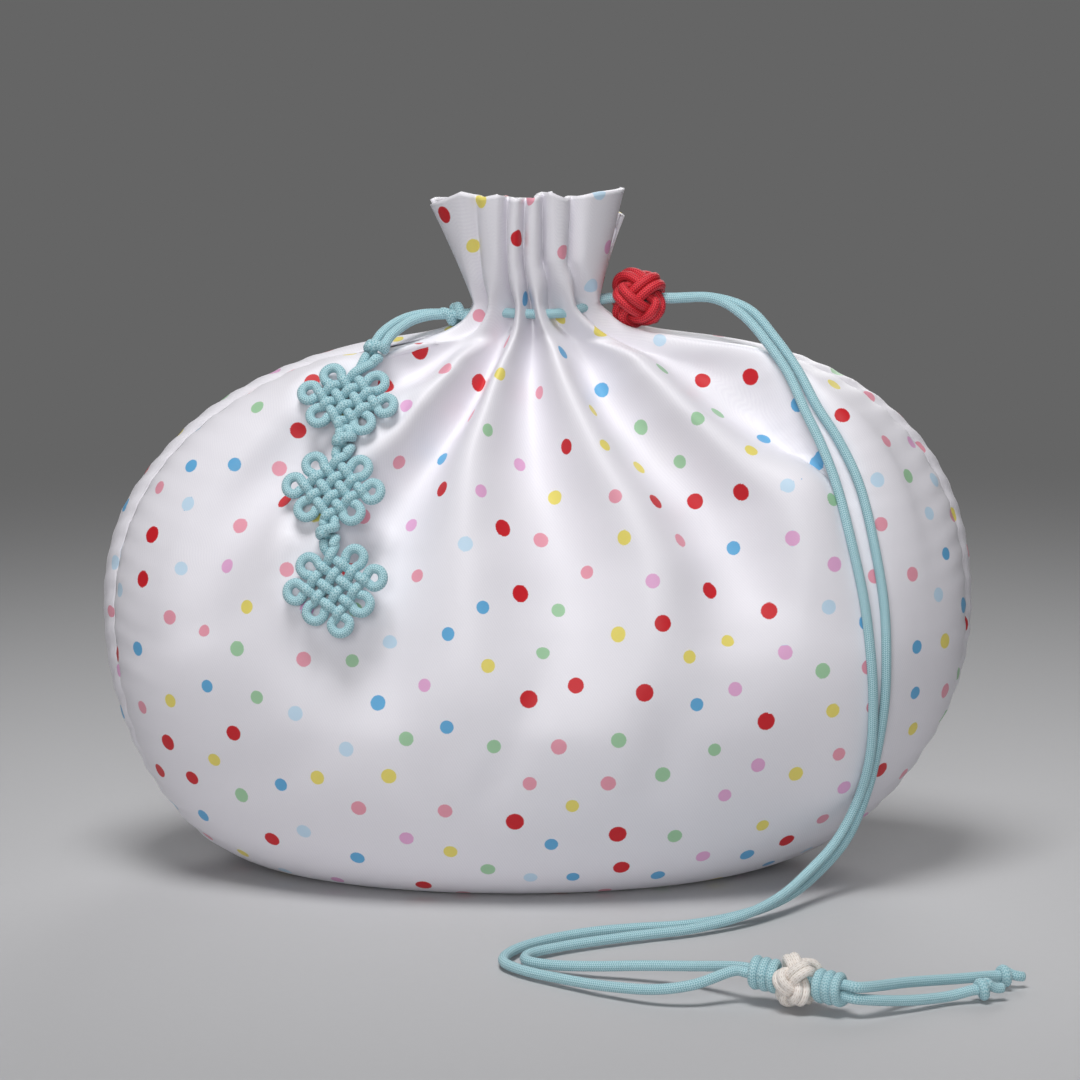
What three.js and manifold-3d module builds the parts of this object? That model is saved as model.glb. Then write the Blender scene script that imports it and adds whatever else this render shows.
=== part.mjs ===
// Drawstring pouch of printed satin, drawn shut, with a knotted cord pendant and a doubled cord tail.
// Millimetres, +Z up, the front faces -Y and the base stands on z = 0.
import * as THREE from 'three';
import { mergeVertices } from 'three/addons/utils/BufferGeometryUtils.js';
import { ParametricGeometry } from 'three/addons/geometries/ParametricGeometry.js';
import Module from 'manifold-3d';

const wasm = await Module();
wasm.setup();

// Pouch body
const BODY_WIDTH = 200;
const BODY_DEPTH = 96;
const WIDEST_HEIGHT = 60;
const DEEPEST_HEIGHT = 46;
const SHOULDER_HEIGHT = 125;
const BASE_WIDTH = 100;
const BASE_DEPTH = 56;
const BOTTOM_SEAM_WIDTH = 92;
const SHOULDER_FULLNESS = 2.25;
const BELLY_FULLNESS = 1.95;
const FRONT_SLOPE = 1.8;
const LEAN = 5.5;
const LEAN_FADE = 30;
const CLOTH = 1.2;
const SEAM_GAP = 0.3;

// Gathered neck above the waist where the cord draws it shut
const WAIST_WIDTH = 27.4;
const WAIST_DEPTH = 24;
const RIM_WIDTH = 44.6;
const RIM_DEPTH = 28;
const RIM_HEIGHT = 155.5;
const RIM_SHIFT = 2.5;
const RIM_FLARE = 1.15;

// Pleats: creases as shares of the half width, deepest at the waist and gone at the fold end
const PLEAT_CREASES = [-1, -0.46, -0.19, 0, 0.22, 0.48, 1];
const PLEAT_DEPTH = 6.5;
const PLEAT_ROUNDNESS = 0.7;
const SEAM_FOLD_SHARE = 0.6;
const FOLD_END_HEIGHT = 62;
const FOLD_FADE = 3;
const NARROW_PLEAT_STEPS = 4;
const WIDE_PLEAT_STEPS = 5;
const LEVELS = [
  -2, -1, -0.85, -0.6, -0.3, 0, 0.25, 0.45, 0.62, 0.76, 0.87, 0.95, 1, 1.12, 2,
];

// Cord and what is knotted in it
const CORD_DIAMETER = 2.2;
const EYELET_DIAMETER = 4;
const CLEARANCE = 0.3;
const STRAND_GAP = 0.4;
const STRAND_SPACING = CORD_DIAMETER + STRAND_GAP;
const LEAD_IN = 2;
const PENDANT_CORD_DIAMETER = 2.1;
const WEAVE_PITCH = 3;
const WEAVE_PRESS = 0.2;
const EAR_LENGTH = 3.6;
const EAR_WIDTH = 4;
const LINE_OVERHANG = 1.2;
const SLIDER_DIAMETER = 13.8;
const SLIDER_CORD_DIAMETER = 2;
const SLIDER_CENTRE = new THREE.Vector3(22.7, 0, 131);
const SLIDER_TRAVEL = 10;
const STOPPER_DIAMETER = 11.8;
const STOPPER_CORD_DIAMETER = 2.6;
const STOPPER_CENTRE = new THREE.Vector3(51.7, -116.8, 5.8);

const CORD_RADIUS = CORD_DIAMETER / 2;
const STRAND_OFFSET = STRAND_SPACING / 2;
const CORD_SIDES = 8;

// Where the cord leaves the neck knot at the left, and where it runs straight at the right
const NECK_CORD_HEIGHT = 127.4;
const NECK_CORD_LEFT = -16;
const STRAIGHT_LEFT = 16;

// Small distances of the shape calculations
const WELD = 1e-4;
const NORMAL_STEP = 0.02;
const BAND_STEP = 1e-3;

// Colours
const SATIN = { color: 0xf3f0f5, roughness: 0.45, metalness: 0 };
const BLUE_CORD = { color: 0x9fd0da, roughness: 0.8, metalness: 0 };
const RED_CORD = { color: 0xc8101c, roughness: 0.6, metalness: 0 };
const IVORY_CORD = { color: 0xece4dc, roughness: 0.7, metalness: 0 };

const pouch = new THREE.Group();

function addPiece(name, geometry, finish) {
  const mesh = new THREE.Mesh(geometry, new THREE.MeshStandardMaterial(finish));
  mesh.name = name;
  pouch.add(mesh);
  return mesh;
}

// Position-only geometry with shared vertices
function welded(geometry) {
  geometry.deleteAttribute('normal');
  geometry.deleteAttribute('uv');
  return mergeVertices(geometry, WELD);
}

function toSolid(geometry) {
  const shape = welded(geometry);
  const vertProperties = new Float32Array(shape.getAttribute('position').array);
  const triVerts = new Uint32Array(shape.getIndex().array);
  return new wasm.Manifold(new wasm.Mesh({ numProp: 3, vertProperties, triVerts }));
}

// The outer shell of a joined solid, which leaves out pinholes between pressed cords
function outerShell(solid) {
  const shells = solid.decompose();
  return shells.reduce((best, shell) => (shell.volume() > best.volume() ? shell : best));
}

function toGeometry(solid) {
  const mesh = outerShell(solid).getMesh();
  const geometry = new THREE.BufferGeometry();
  geometry.setAttribute('position', new THREE.BufferAttribute(new Float32Array(mesh.vertProperties), 3));
  geometry.setIndex(new THREE.BufferAttribute(new Uint32Array(mesh.triVerts), 1));
  return geometry;
}

function vectors(rows) {
  return rows.map(([x, y, z]) => new THREE.Vector3(x, y, z));
}

function sweep(line, steps, radius, sides) {
  const corners = Array.from({ length: sides }, (_, k) => {
    const angle = k / sides * Math.PI * 2;
    return new THREE.Vector2(radius * Math.cos(angle), radius * Math.sin(angle));
  });
  const options = { steps, bevelEnabled: false, extrudePath: line };
  return new THREE.ExtrudeGeometry(new THREE.Shape(corners), options);
}

// Round cord along an open smooth line, in even steps
function cord(points, radius, stepLength, sides = CORD_SIDES) {
  const line = new THREE.CatmullRomCurve3(points);
  return sweep(line, Math.ceil(line.getLength() / stepLength), radius, sides);
}

// Smooth line whose stations are its own points, so that a weave keeps its highs and lows
class StationLine extends THREE.CatmullRomCurve3 {
  getUtoTmapping(u) {
    return u;
  }
}

// Half depth of the pouch at a height: round below the deepest line, sloping in to the waist above it
function halfDepthAt(height) {
  if (height >= DEEPEST_HEIGHT) {
    const above = (height - DEEPEST_HEIGHT) / (SHOULDER_HEIGHT - DEEPEST_HEIGHT);
    return WAIST_DEPTH / 2 + (BODY_DEPTH - WAIST_DEPTH) / 2 * (1 - above ** FRONT_SLOPE);
  }
  const below = 1 - height / DEEPEST_HEIGHT;
  return BASE_DEPTH / 2 + (BODY_DEPTH - BASE_DEPTH) / 2 * Math.sqrt(1 - below ** 2);
}

// Level -2 is the bottom seam, -1 the edge of the base, 0 the widest line, 1 the waist and 2 the rim
function outlineAt(level) {
  if (level > 1) {
    const up = level - 1;
    return {
      halfWidth: THREE.MathUtils.lerp(WAIST_WIDTH, RIM_WIDTH, up ** RIM_FLARE) / 2,
      halfDepth: THREE.MathUtils.lerp(WAIST_DEPTH, RIM_DEPTH, up) / 2,
      height: THREE.MathUtils.lerp(SHOULDER_HEIGHT, RIM_HEIGHT, up),
      shift: -RIM_SHIFT * up,
    };
  }
  if (level < -1) {
    const out = level + 2;
    return {
      halfWidth: THREE.MathUtils.lerp(BOTTOM_SEAM_WIDTH, BASE_WIDTH, out) / 2,
      halfDepth: BASE_DEPTH / 2 * out,
      height: 0,
      shift: -LEAN,
    };
  }
  const upper = level > 0;
  const turn = Math.abs(level) * Math.PI / 2;
  const power = 2 / (upper ? SHOULDER_FULLNESS : BELLY_FULLNESS);
  const endWidth = upper ? WAIST_WIDTH : BASE_WIDTH;
  const rise = upper ? SHOULDER_HEIGHT - WIDEST_HEIGHT : -WIDEST_HEIGHT;
  const climb = Math.sin(turn) ** power;
  const halfWidth = (endWidth + (BODY_WIDTH - endWidth) * Math.max(0, Math.cos(turn)) ** power) / 2;
  const height = WIDEST_HEIGHT + rise * climb;
  const settle = Math.min(1, (halfWidth - WAIST_WIDTH / 2) / LEAN_FADE);
  return {
    halfWidth,
    halfDepth: halfDepthAt(Math.max(0, height)),
    height,
    shift: Math.sign(level) * LEAN * climb ** 2 * settle,
  };
}

// Front skin without pleats, angle 0 at the left seam and PI at the right seam
function smoothPoint(angle, level) {
  const { halfWidth, halfDepth, height, shift } = outlineAt(level);
  return new THREE.Vector3(shift - halfWidth * Math.cos(angle), -halfDepth * Math.sin(angle), height);
}

function outwardAt(angle, level, onSeam) {
  const a = THREE.MathUtils.clamp(angle, 2 * NORMAL_STEP, Math.PI - 2 * NORMAL_STEP);
  const l = THREE.MathUtils.clamp(level, -2 + NORMAL_STEP, 2 - NORMAL_STEP);
  const across = smoothPoint(a + NORMAL_STEP, l).sub(smoothPoint(a - NORMAL_STEP, l));
  const along = smoothPoint(a, l + NORMAL_STEP).sub(smoothPoint(a, l - NORMAL_STEP));
  const outward = across.cross(along);
  if (onSeam) {
    outward.y = 0;
  }
  if (level > 1) {
    outward.z = 0;
  }
  return outward.normalize();
}

function foldDepth(angle, height) {
  const reach = (height - FOLD_END_HEIGHT) / (SHOULDER_HEIGHT - FOLD_END_HEIGHT);
  const atSeam = SEAM_FOLD_SHARE + (1 - SEAM_FOLD_SHARE) * Math.sin(angle) ** 2;
  return PLEAT_DEPTH * atSeam * THREE.MathUtils.clamp(reach, 0, 1) ** FOLD_FADE;
}

// Columns across a panel: each pleat runs from one crease to the next with its crest half way
function pleatColumns() {
  const creaseAngles = PLEAT_CREASES.map((share) => Math.acos(-share));
  const columns = [];
  for (let k = 0; k < creaseAngles.length - 1; k += 1) {
    const wide = k === 0 || k === creaseAngles.length - 2;
    const steps = wide ? WIDE_PLEAT_STEPS : NARROW_PLEAT_STEPS;
    for (let i = 0; i < steps; i += 1) {
      const part = i / steps;
      const angle = THREE.MathUtils.lerp(creaseAngles[k], creaseAngles[k + 1], part);
      columns.push({ angle, crest: Math.sin(Math.PI * part) ** PLEAT_ROUNDNESS });
    }
  }
  columns.push({ angle: Math.PI, crest: 0 });
  return columns;
}

// One cloth panel as a closed sheet: outer skin, inner skin and the four edges
function clothPanel(side) {
  const columns = pleatColumns();
  const rows = LEVELS.length;
  const width = columns.length;
  const positions = [];
  for (const inward of [0, CLOTH]) {
    for (const level of LEVELS) {
      for (const [i, { angle, crest }] of columns.entries()) {
        const onSeam = i === 0 || i === width - 1 || level === LEVELS[0];
        const outward = outwardAt(angle, level, onSeam);
        const point = smoothPoint(angle, level);
        const fold = foldDepth(angle, point.z) * (1 - crest);
        point.addScaledVector(outward, -fold - inward);
        positions.push(point.x, side * (point.y - SEAM_GAP / 2), point.z);
      }
    }
  }
  const indices = [];
  const quad = (a, b, c, d) => {
    indices.push(...(side > 0 ? [a, b, c, a, c, d] : [a, c, b, a, d, c]));
  };
  const outer = (r, c) => r * width + c;
  const inner = (r, c) => (rows + r) * width + c;
  for (let r = 0; r < rows - 1; r += 1) {
    for (let c = 0; c < width - 1; c += 1) {
      quad(outer(r, c), outer(r, c + 1), outer(r + 1, c + 1), outer(r + 1, c));
      quad(inner(r, c), inner(r + 1, c), inner(r + 1, c + 1), inner(r, c + 1));
    }
    quad(outer(r, 0), outer(r + 1, 0), inner(r + 1, 0), inner(r, 0));
    quad(outer(r, width - 1), inner(r, width - 1), inner(r + 1, width - 1), outer(r + 1, width - 1));
  }
  for (let c = 0; c < width - 1; c += 1) {
    quad(outer(0, c), inner(0, c), inner(0, c + 1), outer(0, c + 1));
    quad(outer(rows - 1, c), outer(rows - 1, c + 1), inner(rows - 1, c + 1), inner(rows - 1, c));
  }
  const geometry = new THREE.BufferGeometry();
  geometry.setAttribute('position', new THREE.Float32BufferAttribute(positions, 3));
  geometry.setIndex(indices);
  return geometry;
}

// The front strand from the neck knot through the pleats to the slider, and the back strand mirrored
const NECK_ROUTE = [
  [NECK_CORD_LEFT, -STRAND_OFFSET, NECK_CORD_HEIGHT],
  [-13, -2, 127.8],
  [-10, -4.2, 128.2],
  [-6.5, -6.9, 128.3],
  [-3, -8.2, 128.3],
  [0, -8.6, 128.3],
  [3, -8.3, 128.3],
  [6.8, -6.9, 128.5],
  [10.2, -4.2, 129.3],
  [13, -2, 130.4],
];

const SLIDER_END = SLIDER_CENTRE.x + SLIDER_DIAMETER / 2;
const STRAIGHT_RUN = [
  [STRAIGHT_LEFT, -STRAND_OFFSET, SLIDER_CENTRE.z],
  [SLIDER_END, -STRAND_OFFSET, SLIDER_CENTRE.z],
  [SLIDER_END + SLIDER_TRAVEL, -STRAND_OFFSET, SLIDER_CENTRE.z],
];

const FRONT_TAIL_ROUTE = [
  [46, -4.8, 127.6],
  [51.5, -10, 121.6],
  [55.8, -14.5, 115.4],
  [59.1, -19.4, 108],
  [62.6, -23, 100.7],
  [65.8, -26.6, 92.2],
  [68.8, -30.6, 80.5],
  [71.6, -33.2, 67.7],
  [73.3, -34.3, 54.4],
  [74, -33.5, 43],
  [73.5, -31.6, 31],
  [71, -29.2, 20.8],
  [66.3, -31.5, 12.6],
  [59.3, -39, 7.2],
  [52.8, -47.5, 4.2],
  [44, -56.5, 2.4],
  [33, -63.5, 1.5],
  [23.8, -67.3, 1.4],
  [14.6, -71.5, 1.4],
  [4, -77.4, 1.4],
  [-2, -82.6, 1.4],
  [-2.6, -87, 1.4],
  [1.8, -90.6, 1.5],
  [10.6, -94.2, 2.2],
  [20.9, -97.2, 3.2],
  [31, -101.6, 4.4],
];

const BACK_TAIL_ROUTE = [
  [47.6, -2.6, 128.6],
  [53.6, -7.9, 122.2],
  [58, -12.6, 116],
  [62, -17.6, 108.5],
  [66.6, -21, 101.4],
  [70.9, -24.5, 92.3],
  [74.2, -28.6, 78.9],
  [76.3, -31.1, 65.9],
  [76.8, -32.5, 55.5],
  [76.7, -32, 45],
  [75.6, -30.1, 34.5],
  [73.4, -27.7, 23],
  [69, -28.8, 12.6],
  [61.5, -35.2, 5.8],
  [54.5, -43.5, 3],
  [45, -52.5, 1.8],
  [33, -59.6, 1.4],
  [19.7, -62.8, 1.4],
  [11, -65.8, 1.4],
  [0.3, -73, 1.4],
  [-6, -81.2, 1.4],
  [-7.2, -88.2, 1.4],
  [-3.6, -94, 1.4],
  [3.8, -100.6, 1.6],
  [13.9, -108.5, 2.2],
  [23.8, -114, 3.2],
  [31, -114.8, 4.4],
];

const mirroredBack = ([x, y, z]) => [x, -y, z];
const CORD_STEP = 3 * CORD_DIAMETER;
const EYELET_STEP = 3.4;
const EYELET_SIDES = 6;

// Cord pieces of the tail: two double knots with the ball knot between them, and the two cut ends
const TAIL_AXIS = new THREE.Vector3(0.88, -0.46, -0.06).normalize();
const TAIL_KNOT_LENGTH = 7.2;
const TAIL_KNOT_DIAMETER = 6.8;
const STOPPER_HALF_LENGTH = 2.95;
const TAIL_KNOT_REACH = STOPPER_HALF_LENGTH + CLEARANCE + TAIL_KNOT_LENGTH / 2;
const upperTailKnot = STOPPER_CENTRE.clone().addScaledVector(TAIL_AXIS, -TAIL_KNOT_REACH);
const lowerTailKnot = STOPPER_CENTRE.clone().addScaledVector(TAIL_AXIS, TAIL_KNOT_REACH);
const tailEntry = upperTailKnot.clone().addScaledVector(TAIL_AXIS, -TAIL_KNOT_LENGTH / 2 - CLEARANCE);
const tailExit = lowerTailKnot.clone().addScaledVector(TAIL_AXIS, TAIL_KNOT_LENGTH / 2 + CLEARANCE);
const tailAcross = new THREE.Vector3(0, 0, 1).cross(TAIL_AXIS).normalize();

function tailStrand(side, tailRoute) {
  const neck = NECK_ROUTE.concat(STRAIGHT_RUN);
  const start = vectors(side > 0 ? neck : neck.map(mirroredBack));
  const end = tailEntry.clone().addScaledVector(tailAcross, side * STRAND_OFFSET);
  const lead = end.clone().addScaledVector(TAIL_AXIS, -LEAD_IN);
  return cord([...start, ...vectors(tailRoute), lead, end], CORD_RADIUS, CORD_STEP);
}

function threadedPanel(side) {
  const route = NECK_ROUTE.concat(STRAIGHT_RUN.slice(0, 1));
  const points = vectors(side > 0 ? route : route.map(mirroredBack));
  const eyelets = cord(points, EYELET_DIAMETER / 2, EYELET_STEP, EYELET_SIDES);
  return toGeometry(toSolid(clothPanel(side)).subtract(toSolid(eyelets)));
}

addPiece('front_panel', threadedPanel(1), SATIN);
addPiece('back_panel', threadedPanel(-1), SATIN);
addPiece('front_strand', tailStrand(1, FRONT_TAIL_ROUTE), BLUE_CORD);
addPiece('back_strand', tailStrand(-1, BACK_TAIL_ROUTE), BLUE_CORD);

// A double knot: a barrel of rounded cord turns, revolved, with its axis along Y
const TURN_BULGE = 0.16;
const CREST_START = 0.3;
const CREST_END = 0.7;
const KNOT_SEGMENTS = 8;

function doubleKnot(length, diameter, turns) {
  const profile = [new THREE.Vector2(0, -length / 2)];
  const turnLength = length / turns;
  const crestRadius = diameter / 2;
  const grooveRadius = crestRadius * (1 - TURN_BULGE);
  const endRadius = crestRadius * (1 - 2 * TURN_BULGE);
  for (let k = 0; k < turns; k += 1) {
    const low = -length / 2 + k * turnLength;
    profile.push(new THREE.Vector2(k === 0 ? endRadius : grooveRadius, low));
    profile.push(new THREE.Vector2(crestRadius, low + turnLength * CREST_START));
    profile.push(new THREE.Vector2(crestRadius, low + turnLength * CREST_END));
  }
  profile.push(new THREE.Vector2(endRadius, length / 2));
  profile.push(new THREE.Vector2(0, length / 2));
  return new THREE.LatheGeometry(profile, KNOT_SEGMENTS);
}

const UP_Y = new THREE.Vector3(0, 1, 0);

function addKnot(name, geometry, centre, axis, finish) {
  const mesh = addPiece(name, welded(geometry), finish);
  mesh.position.copy(centre);
  mesh.quaternion.setFromUnitVectors(UP_Y, axis);
  return mesh;
}

// Neck knot at the left of the waist and the pendant's two strands over the shoulder
const NECK_KNOT_LENGTH = 5;
const NECK_KNOT_DIAMETER = 5.6;
const SHOULDER_GAP = 0.4;
const neckKnotRight = NECK_CORD_LEFT - CLEARANCE;
const neckKnotLeft = neckKnotRight - NECK_KNOT_LENGTH;
const neckKnot = new THREE.Vector3((neckKnotLeft + neckKnotRight) / 2, 0, NECK_CORD_HEIGHT);
const shoulderStart = neckKnotLeft - SHOULDER_GAP;
const LEFT = new THREE.Vector3(-1, 0, 0);
addKnot('neck_knot', doubleKnot(NECK_KNOT_LENGTH, NECK_KNOT_DIAMETER, 2), neckKnot, LEFT, BLUE_CORD);

// Pendant, from the shoulder down the front: double knots and chrysanthemum knots in turn
const PENDANT_KNOT_LENGTH = 4.6;
const PENDANT_KNOT_DIAMETER = 5.4;
const PENDANT_OUTWARD = new THREE.Vector3(-0.2, -0.87, 0.45);
const pendantDoubleKnots = vectors([[-36.4, -13.4, 120.7], [-42.8, -26.6, 101.9], [-46, -36.2, 83.1]]);
const pendantWeaves = vectors([[-42.3, -20, 110.5], [-45, -31.4, 92.2], [-44.3, -40.2, 72.3]]);
const pendantAxes = [
  new THREE.Vector3(-0.5, -0.55, -0.67),
  new THREE.Vector3(-0.13, -0.52, -0.84),
  new THREE.Vector3(0.03, -0.43, -0.9),
].map((axis) => axis.normalize());

const SHOULDER_ROUTES = {
  front: [[shoulderStart, -STRAND_OFFSET, NECK_CORD_HEIGHT], [-25.2, -2.9, 127.2], [-29, -6.2, 126.2]],
  back: [[shoulderStart, STRAND_OFFSET, NECK_CORD_HEIGHT], [-26.2, -0.2, 127.4], [-31, -3.8, 126.4]],
};
const pendantEntryAcross = new THREE.Vector3(0.8, -0.55, -0.14).normalize();

for (const [place, side] of [['front', 1], ['back', -1]]) {
  const end = pendantDoubleKnots[0].clone();
  end.addScaledVector(pendantAxes[0], -PENDANT_KNOT_LENGTH / 2 - CLEARANCE);
  end.addScaledVector(pendantEntryAcross, side * STRAND_OFFSET);
  const lead = end.clone().addScaledVector(pendantAxes[0], -LEAD_IN);
  const route = [...vectors(SHOULDER_ROUTES[place]), lead, end];
  addPiece(`pendant_strand_${place}`, cord(route, CORD_RADIUS, CORD_STEP / 2), BLUE_CORD);
}

pendantDoubleKnots.forEach((centre, k) => {
  const knot = doubleKnot(PENDANT_KNOT_LENGTH, PENDANT_KNOT_DIAMETER, 2);
  addKnot(`pendant_double_knot_${k + 1}`, knot, centre, pendantAxes[k], BLUE_CORD);
});

// Chrysanthemum knot: four rows woven with four columns, the line ends joined by ears
const LINES = 4;
const WEAVE_RADIUS = PENDANT_CORD_DIAMETER / 2;
const WEAVE_LIFT = WEAVE_RADIUS - WEAVE_PRESS / 2;
const WEAVE_SIDES = 5;
const WEAVE_LEAD = 0.6;
const WEAVE_GAP = 0.55;
const LEAD_SPREAD = 1.1 * WEAVE_RADIUS;
const LINE_END = (LINES - 1) / 2 * WEAVE_PITCH + LINE_OVERHANG;

const linePlace = (k) => (k - (LINES - 1) / 2) * WEAVE_PITCH;
const weaveHeight = (row, column) => ((row + column) % 2 === 0 ? WEAVE_LIFT : -WEAVE_LIFT);

function rowLine(row, forward) {
  const y = linePlace(row);
  const line = [new THREE.Vector3(-LINE_END, y, 0)];
  for (let column = 0; column < LINES; column += 1) {
    line.push(new THREE.Vector3(linePlace(column), y, weaveHeight(row, column)));
  }
  line.push(new THREE.Vector3(LINE_END, y, 0));
  return forward ? line : line.reverse();
}

function columnLine(column, forward) {
  const x = linePlace(column);
  const line = [new THREE.Vector3(x, -LINE_END, 0)];
  for (let row = 0; row < LINES; row += 1) {
    line.push(new THREE.Vector3(x, linePlace(row), -weaveHeight(row, column)));
  }
  line.push(new THREE.Vector3(x, LINE_END, 0));
  return forward ? line : line.reverse();
}

// Loop that leaves the weave at one line end and comes back at the next
const EAR_STATIONS = [[-0.5, 0.36], [-0.38, 0.82], [0, 1], [0.38, 0.82], [0.5, 0.36]];

function ear(from, to) {
  const middle = from.clone().add(to).multiplyScalar(0.5);
  const sideways = to.clone().sub(from).normalize();
  const out = new THREE.Vector3(middle.x, middle.y, 0).projectOnPlane(sideways).normalize();
  return EAR_STATIONS.map(([across, along]) => middle.clone()
    .addScaledVector(sideways, across * EAR_WIDTH)
    .addScaledVector(out, along * EAR_LENGTH));
}

function joinLines(lines) {
  const path = [...lines[0]];
  for (const line of lines.slice(1)) {
    path.push(...ear(path[path.length - 1], line[0]), ...line);
  }
  return path;
}

function closeLoop(path) {
  return [...path, ...ear(path[path.length - 1], path[0])];
}

function openWeave(path) {
  return sweep(new StationLine(path), path.length - 1, WEAVE_RADIUS, WEAVE_SIDES);
}

function closedWeave(path) {
  return new THREE.TubeGeometry(new StationLine(path, true), path.length, WEAVE_RADIUS, WEAVE_SIDES, true);
}

// entry and exit are the places of the double knots above and below, exit is null on the last knot
function chrysanthemumKnot(centre, entry, exit) {
  const upward = entry.clone().sub(exit ?? centre).normalize();
  const outward = PENDANT_OUTWARD.clone().projectOnPlane(upward).normalize();
  const across = upward.clone().cross(outward);
  const diagonal = Math.SQRT1_2;
  const basis = new THREE.Matrix4().makeBasis(across, upward, outward).setPosition(centre);
  const place = (p) => {
    const turned = new THREE.Vector3((p.x + p.y) * diagonal, (p.y - p.x) * diagonal, p.z);
    return turned.applyMatrix4(basis);
  };
  const leadsAt = (knot, side) => {
    const away = centre.clone().sub(knot).normalize();
    const end = knot.clone().addScaledVector(across, side * LEAD_SPREAD);
    end.addScaledVector(away, PENDANT_KNOT_LENGTH / 2 + WEAVE_GAP);
    return [end, end.clone().addScaledVector(away, WEAVE_LEAD)];
  };
  const top = LINES - 1;
  const lead = (side, lines, below) => {
    const woven = joinLines(lines).slice(1, -1).map(place);
    const endSide = below === exit ? side : -side;
    return [...leadsAt(entry, side), ...woven, ...leadsAt(below, endSide).reverse()];
  };
  const lastKnotLines = [
    rowLine(top, true),
    columnLine(top, false),
    rowLine(0, false),
    columnLine(0, true),
  ];
  const outer = exit
    ? [
      lead(-1, [rowLine(top, true), columnLine(top, false)], exit),
      lead(1, [columnLine(0, false), rowLine(0, true)], exit),
    ]
    : [lead(-1, lastKnotLines, entry)];
  const inner = [
    closeLoop(joinLines([rowLine(1, true), rowLine(2, false)])).map(place),
    closeLoop(joinLines([columnLine(1, true), columnLine(2, false)])).map(place),
  ];
  const solids = [
    ...outer.map((path) => toSolid(openWeave(path))),
    ...inner.map((path) => toSolid(closedWeave(path))),
  ];
  return toGeometry(solids.reduce((sum, solid) => sum.add(solid)));
}

pendantWeaves.forEach((centre, k) => {
  const knot = chrysanthemumKnot(centre, pendantDoubleKnots[k], pendantDoubleKnots[k + 1] ?? null);
  addPiece(`chrysanthemum_knot_${k + 1}`, knot, BLUE_CORD);
});

// Ball knot: a Turk's head of three leads and four bights round the X axis.
// The doubled strand is a band with a dent between its two lobes.
const LEADS = 3;
const BIGHTS = 4;
const BALL_STEPS = 40;
const BALL_SECTION_STEPS = 8;
const ARC_STEPS = 7;
const ARC_SIDES = 5;
const ARC_OVERLAP = 0.5;
const LOBE_DENT = 0.6;

// Line of the knot for a cord that fills the diameter, s from 0 to 1 round the whole knot
function turksHead(diameter, cordDiameter, reach) {
  const thickness = cordDiameter / 2;
  const crossing = 2 * thickness / Math.sqrt(3);
  const middle = diameter / 2 - crossing - thickness;
  return (s, target) => {
    const turn = 2 * Math.PI * s;
    const rise = reach * Math.cos(BIGHTS * turn);
    const radius = middle + crossing * Math.sin(2 * BIGHTS * turn);
    const around = LEADS * turn;
    const flat = Math.cos(rise) * radius;
    return target.set(Math.sin(rise) * radius, Math.cos(around) * flat, Math.sin(around) * flat);
  };
}

function doubledBallKnot(diameter, cordDiameter, reach) {
  const along = turksHead(diameter, cordDiameter, reach);
  const bandPoint = (u, v, target) => {
    const place = along(u, new THREE.Vector3());
    const forward = along(u + BAND_STEP, new THREE.Vector3());
    forward.sub(along(u - BAND_STEP, new THREE.Vector3()));
    const outward = place.clone().normalize();
    const sideways = forward.cross(outward).normalize();
    const a = 2 * Math.PI * v;
    const lobe = Math.abs(Math.sin(2 * a));
    const round = lobe + LOBE_DENT * (1 - lobe) * Math.abs(Math.sin(a));
    const across = cordDiameter * Math.cos(a);
    const lift = cordDiameter / 2 * round * Math.sign(Math.sin(a)) - across ** 2 / (2 * place.length());
    target.copy(place).addScaledVector(sideways, across).addScaledVector(outward, lift);
  };
  return new ParametricGeometry(bandPoint, BALL_STEPS, BALL_SECTION_STEPS);
}

// The single strand is joined from one arc for each bight, because an arc doesn't cross itself
function singleBallKnot(diameter, cordDiameter, reach) {
  const along = turksHead(diameter, cordDiameter, reach);
  const steps = ARC_STEPS * BIGHTS;
  const arcs = Array.from({ length: BIGHTS }, (_, k) => {
    const stations = Array.from({ length: ARC_STEPS + 1 }, (__, i) => k * ARC_STEPS + i);
    stations.push((k + 1) * ARC_STEPS + ARC_OVERLAP);
    const points = stations.map((station) => along(station / steps, new THREE.Vector3()));
    return toSolid(sweep(new StationLine(points), points.length - 1, cordDiameter / 2, ARC_SIDES));
  });
  return toGeometry(arcs.reduce((sum, arc) => sum.add(arc)));
}

// Slider with an oval bore for both strands
const SLIDER_REACH = 0.9;
const BORE_RADIUS = CORD_RADIUS + CLEARANCE;
const BORE_SEGMENTS = 5;
const boreShape = new THREE.Shape();
boreShape.absarc(STRAND_OFFSET, 0, BORE_RADIUS, -Math.PI / 2, Math.PI / 2);
boreShape.absarc(-STRAND_OFFSET, 0, BORE_RADIUS, Math.PI / 2, Math.PI * 1.5);
const bore = new THREE.ExtrudeGeometry(boreShape, {
  depth: 2 * SLIDER_DIAMETER,
  curveSegments: BORE_SEGMENTS,
  bevelEnabled: false,
});
bore.translate(0, 0, -SLIDER_DIAMETER);
bore.rotateZ(Math.PI / 2);
bore.rotateY(Math.PI / 2);
const sliderBall = toSolid(doubledBallKnot(SLIDER_DIAMETER, SLIDER_CORD_DIAMETER, SLIDER_REACH));
const slider = addPiece('red_ball_knot', toGeometry(sliderBall.subtract(toSolid(bore))), RED_CORD);
slider.position.copy(SLIDER_CENTRE);

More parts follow.
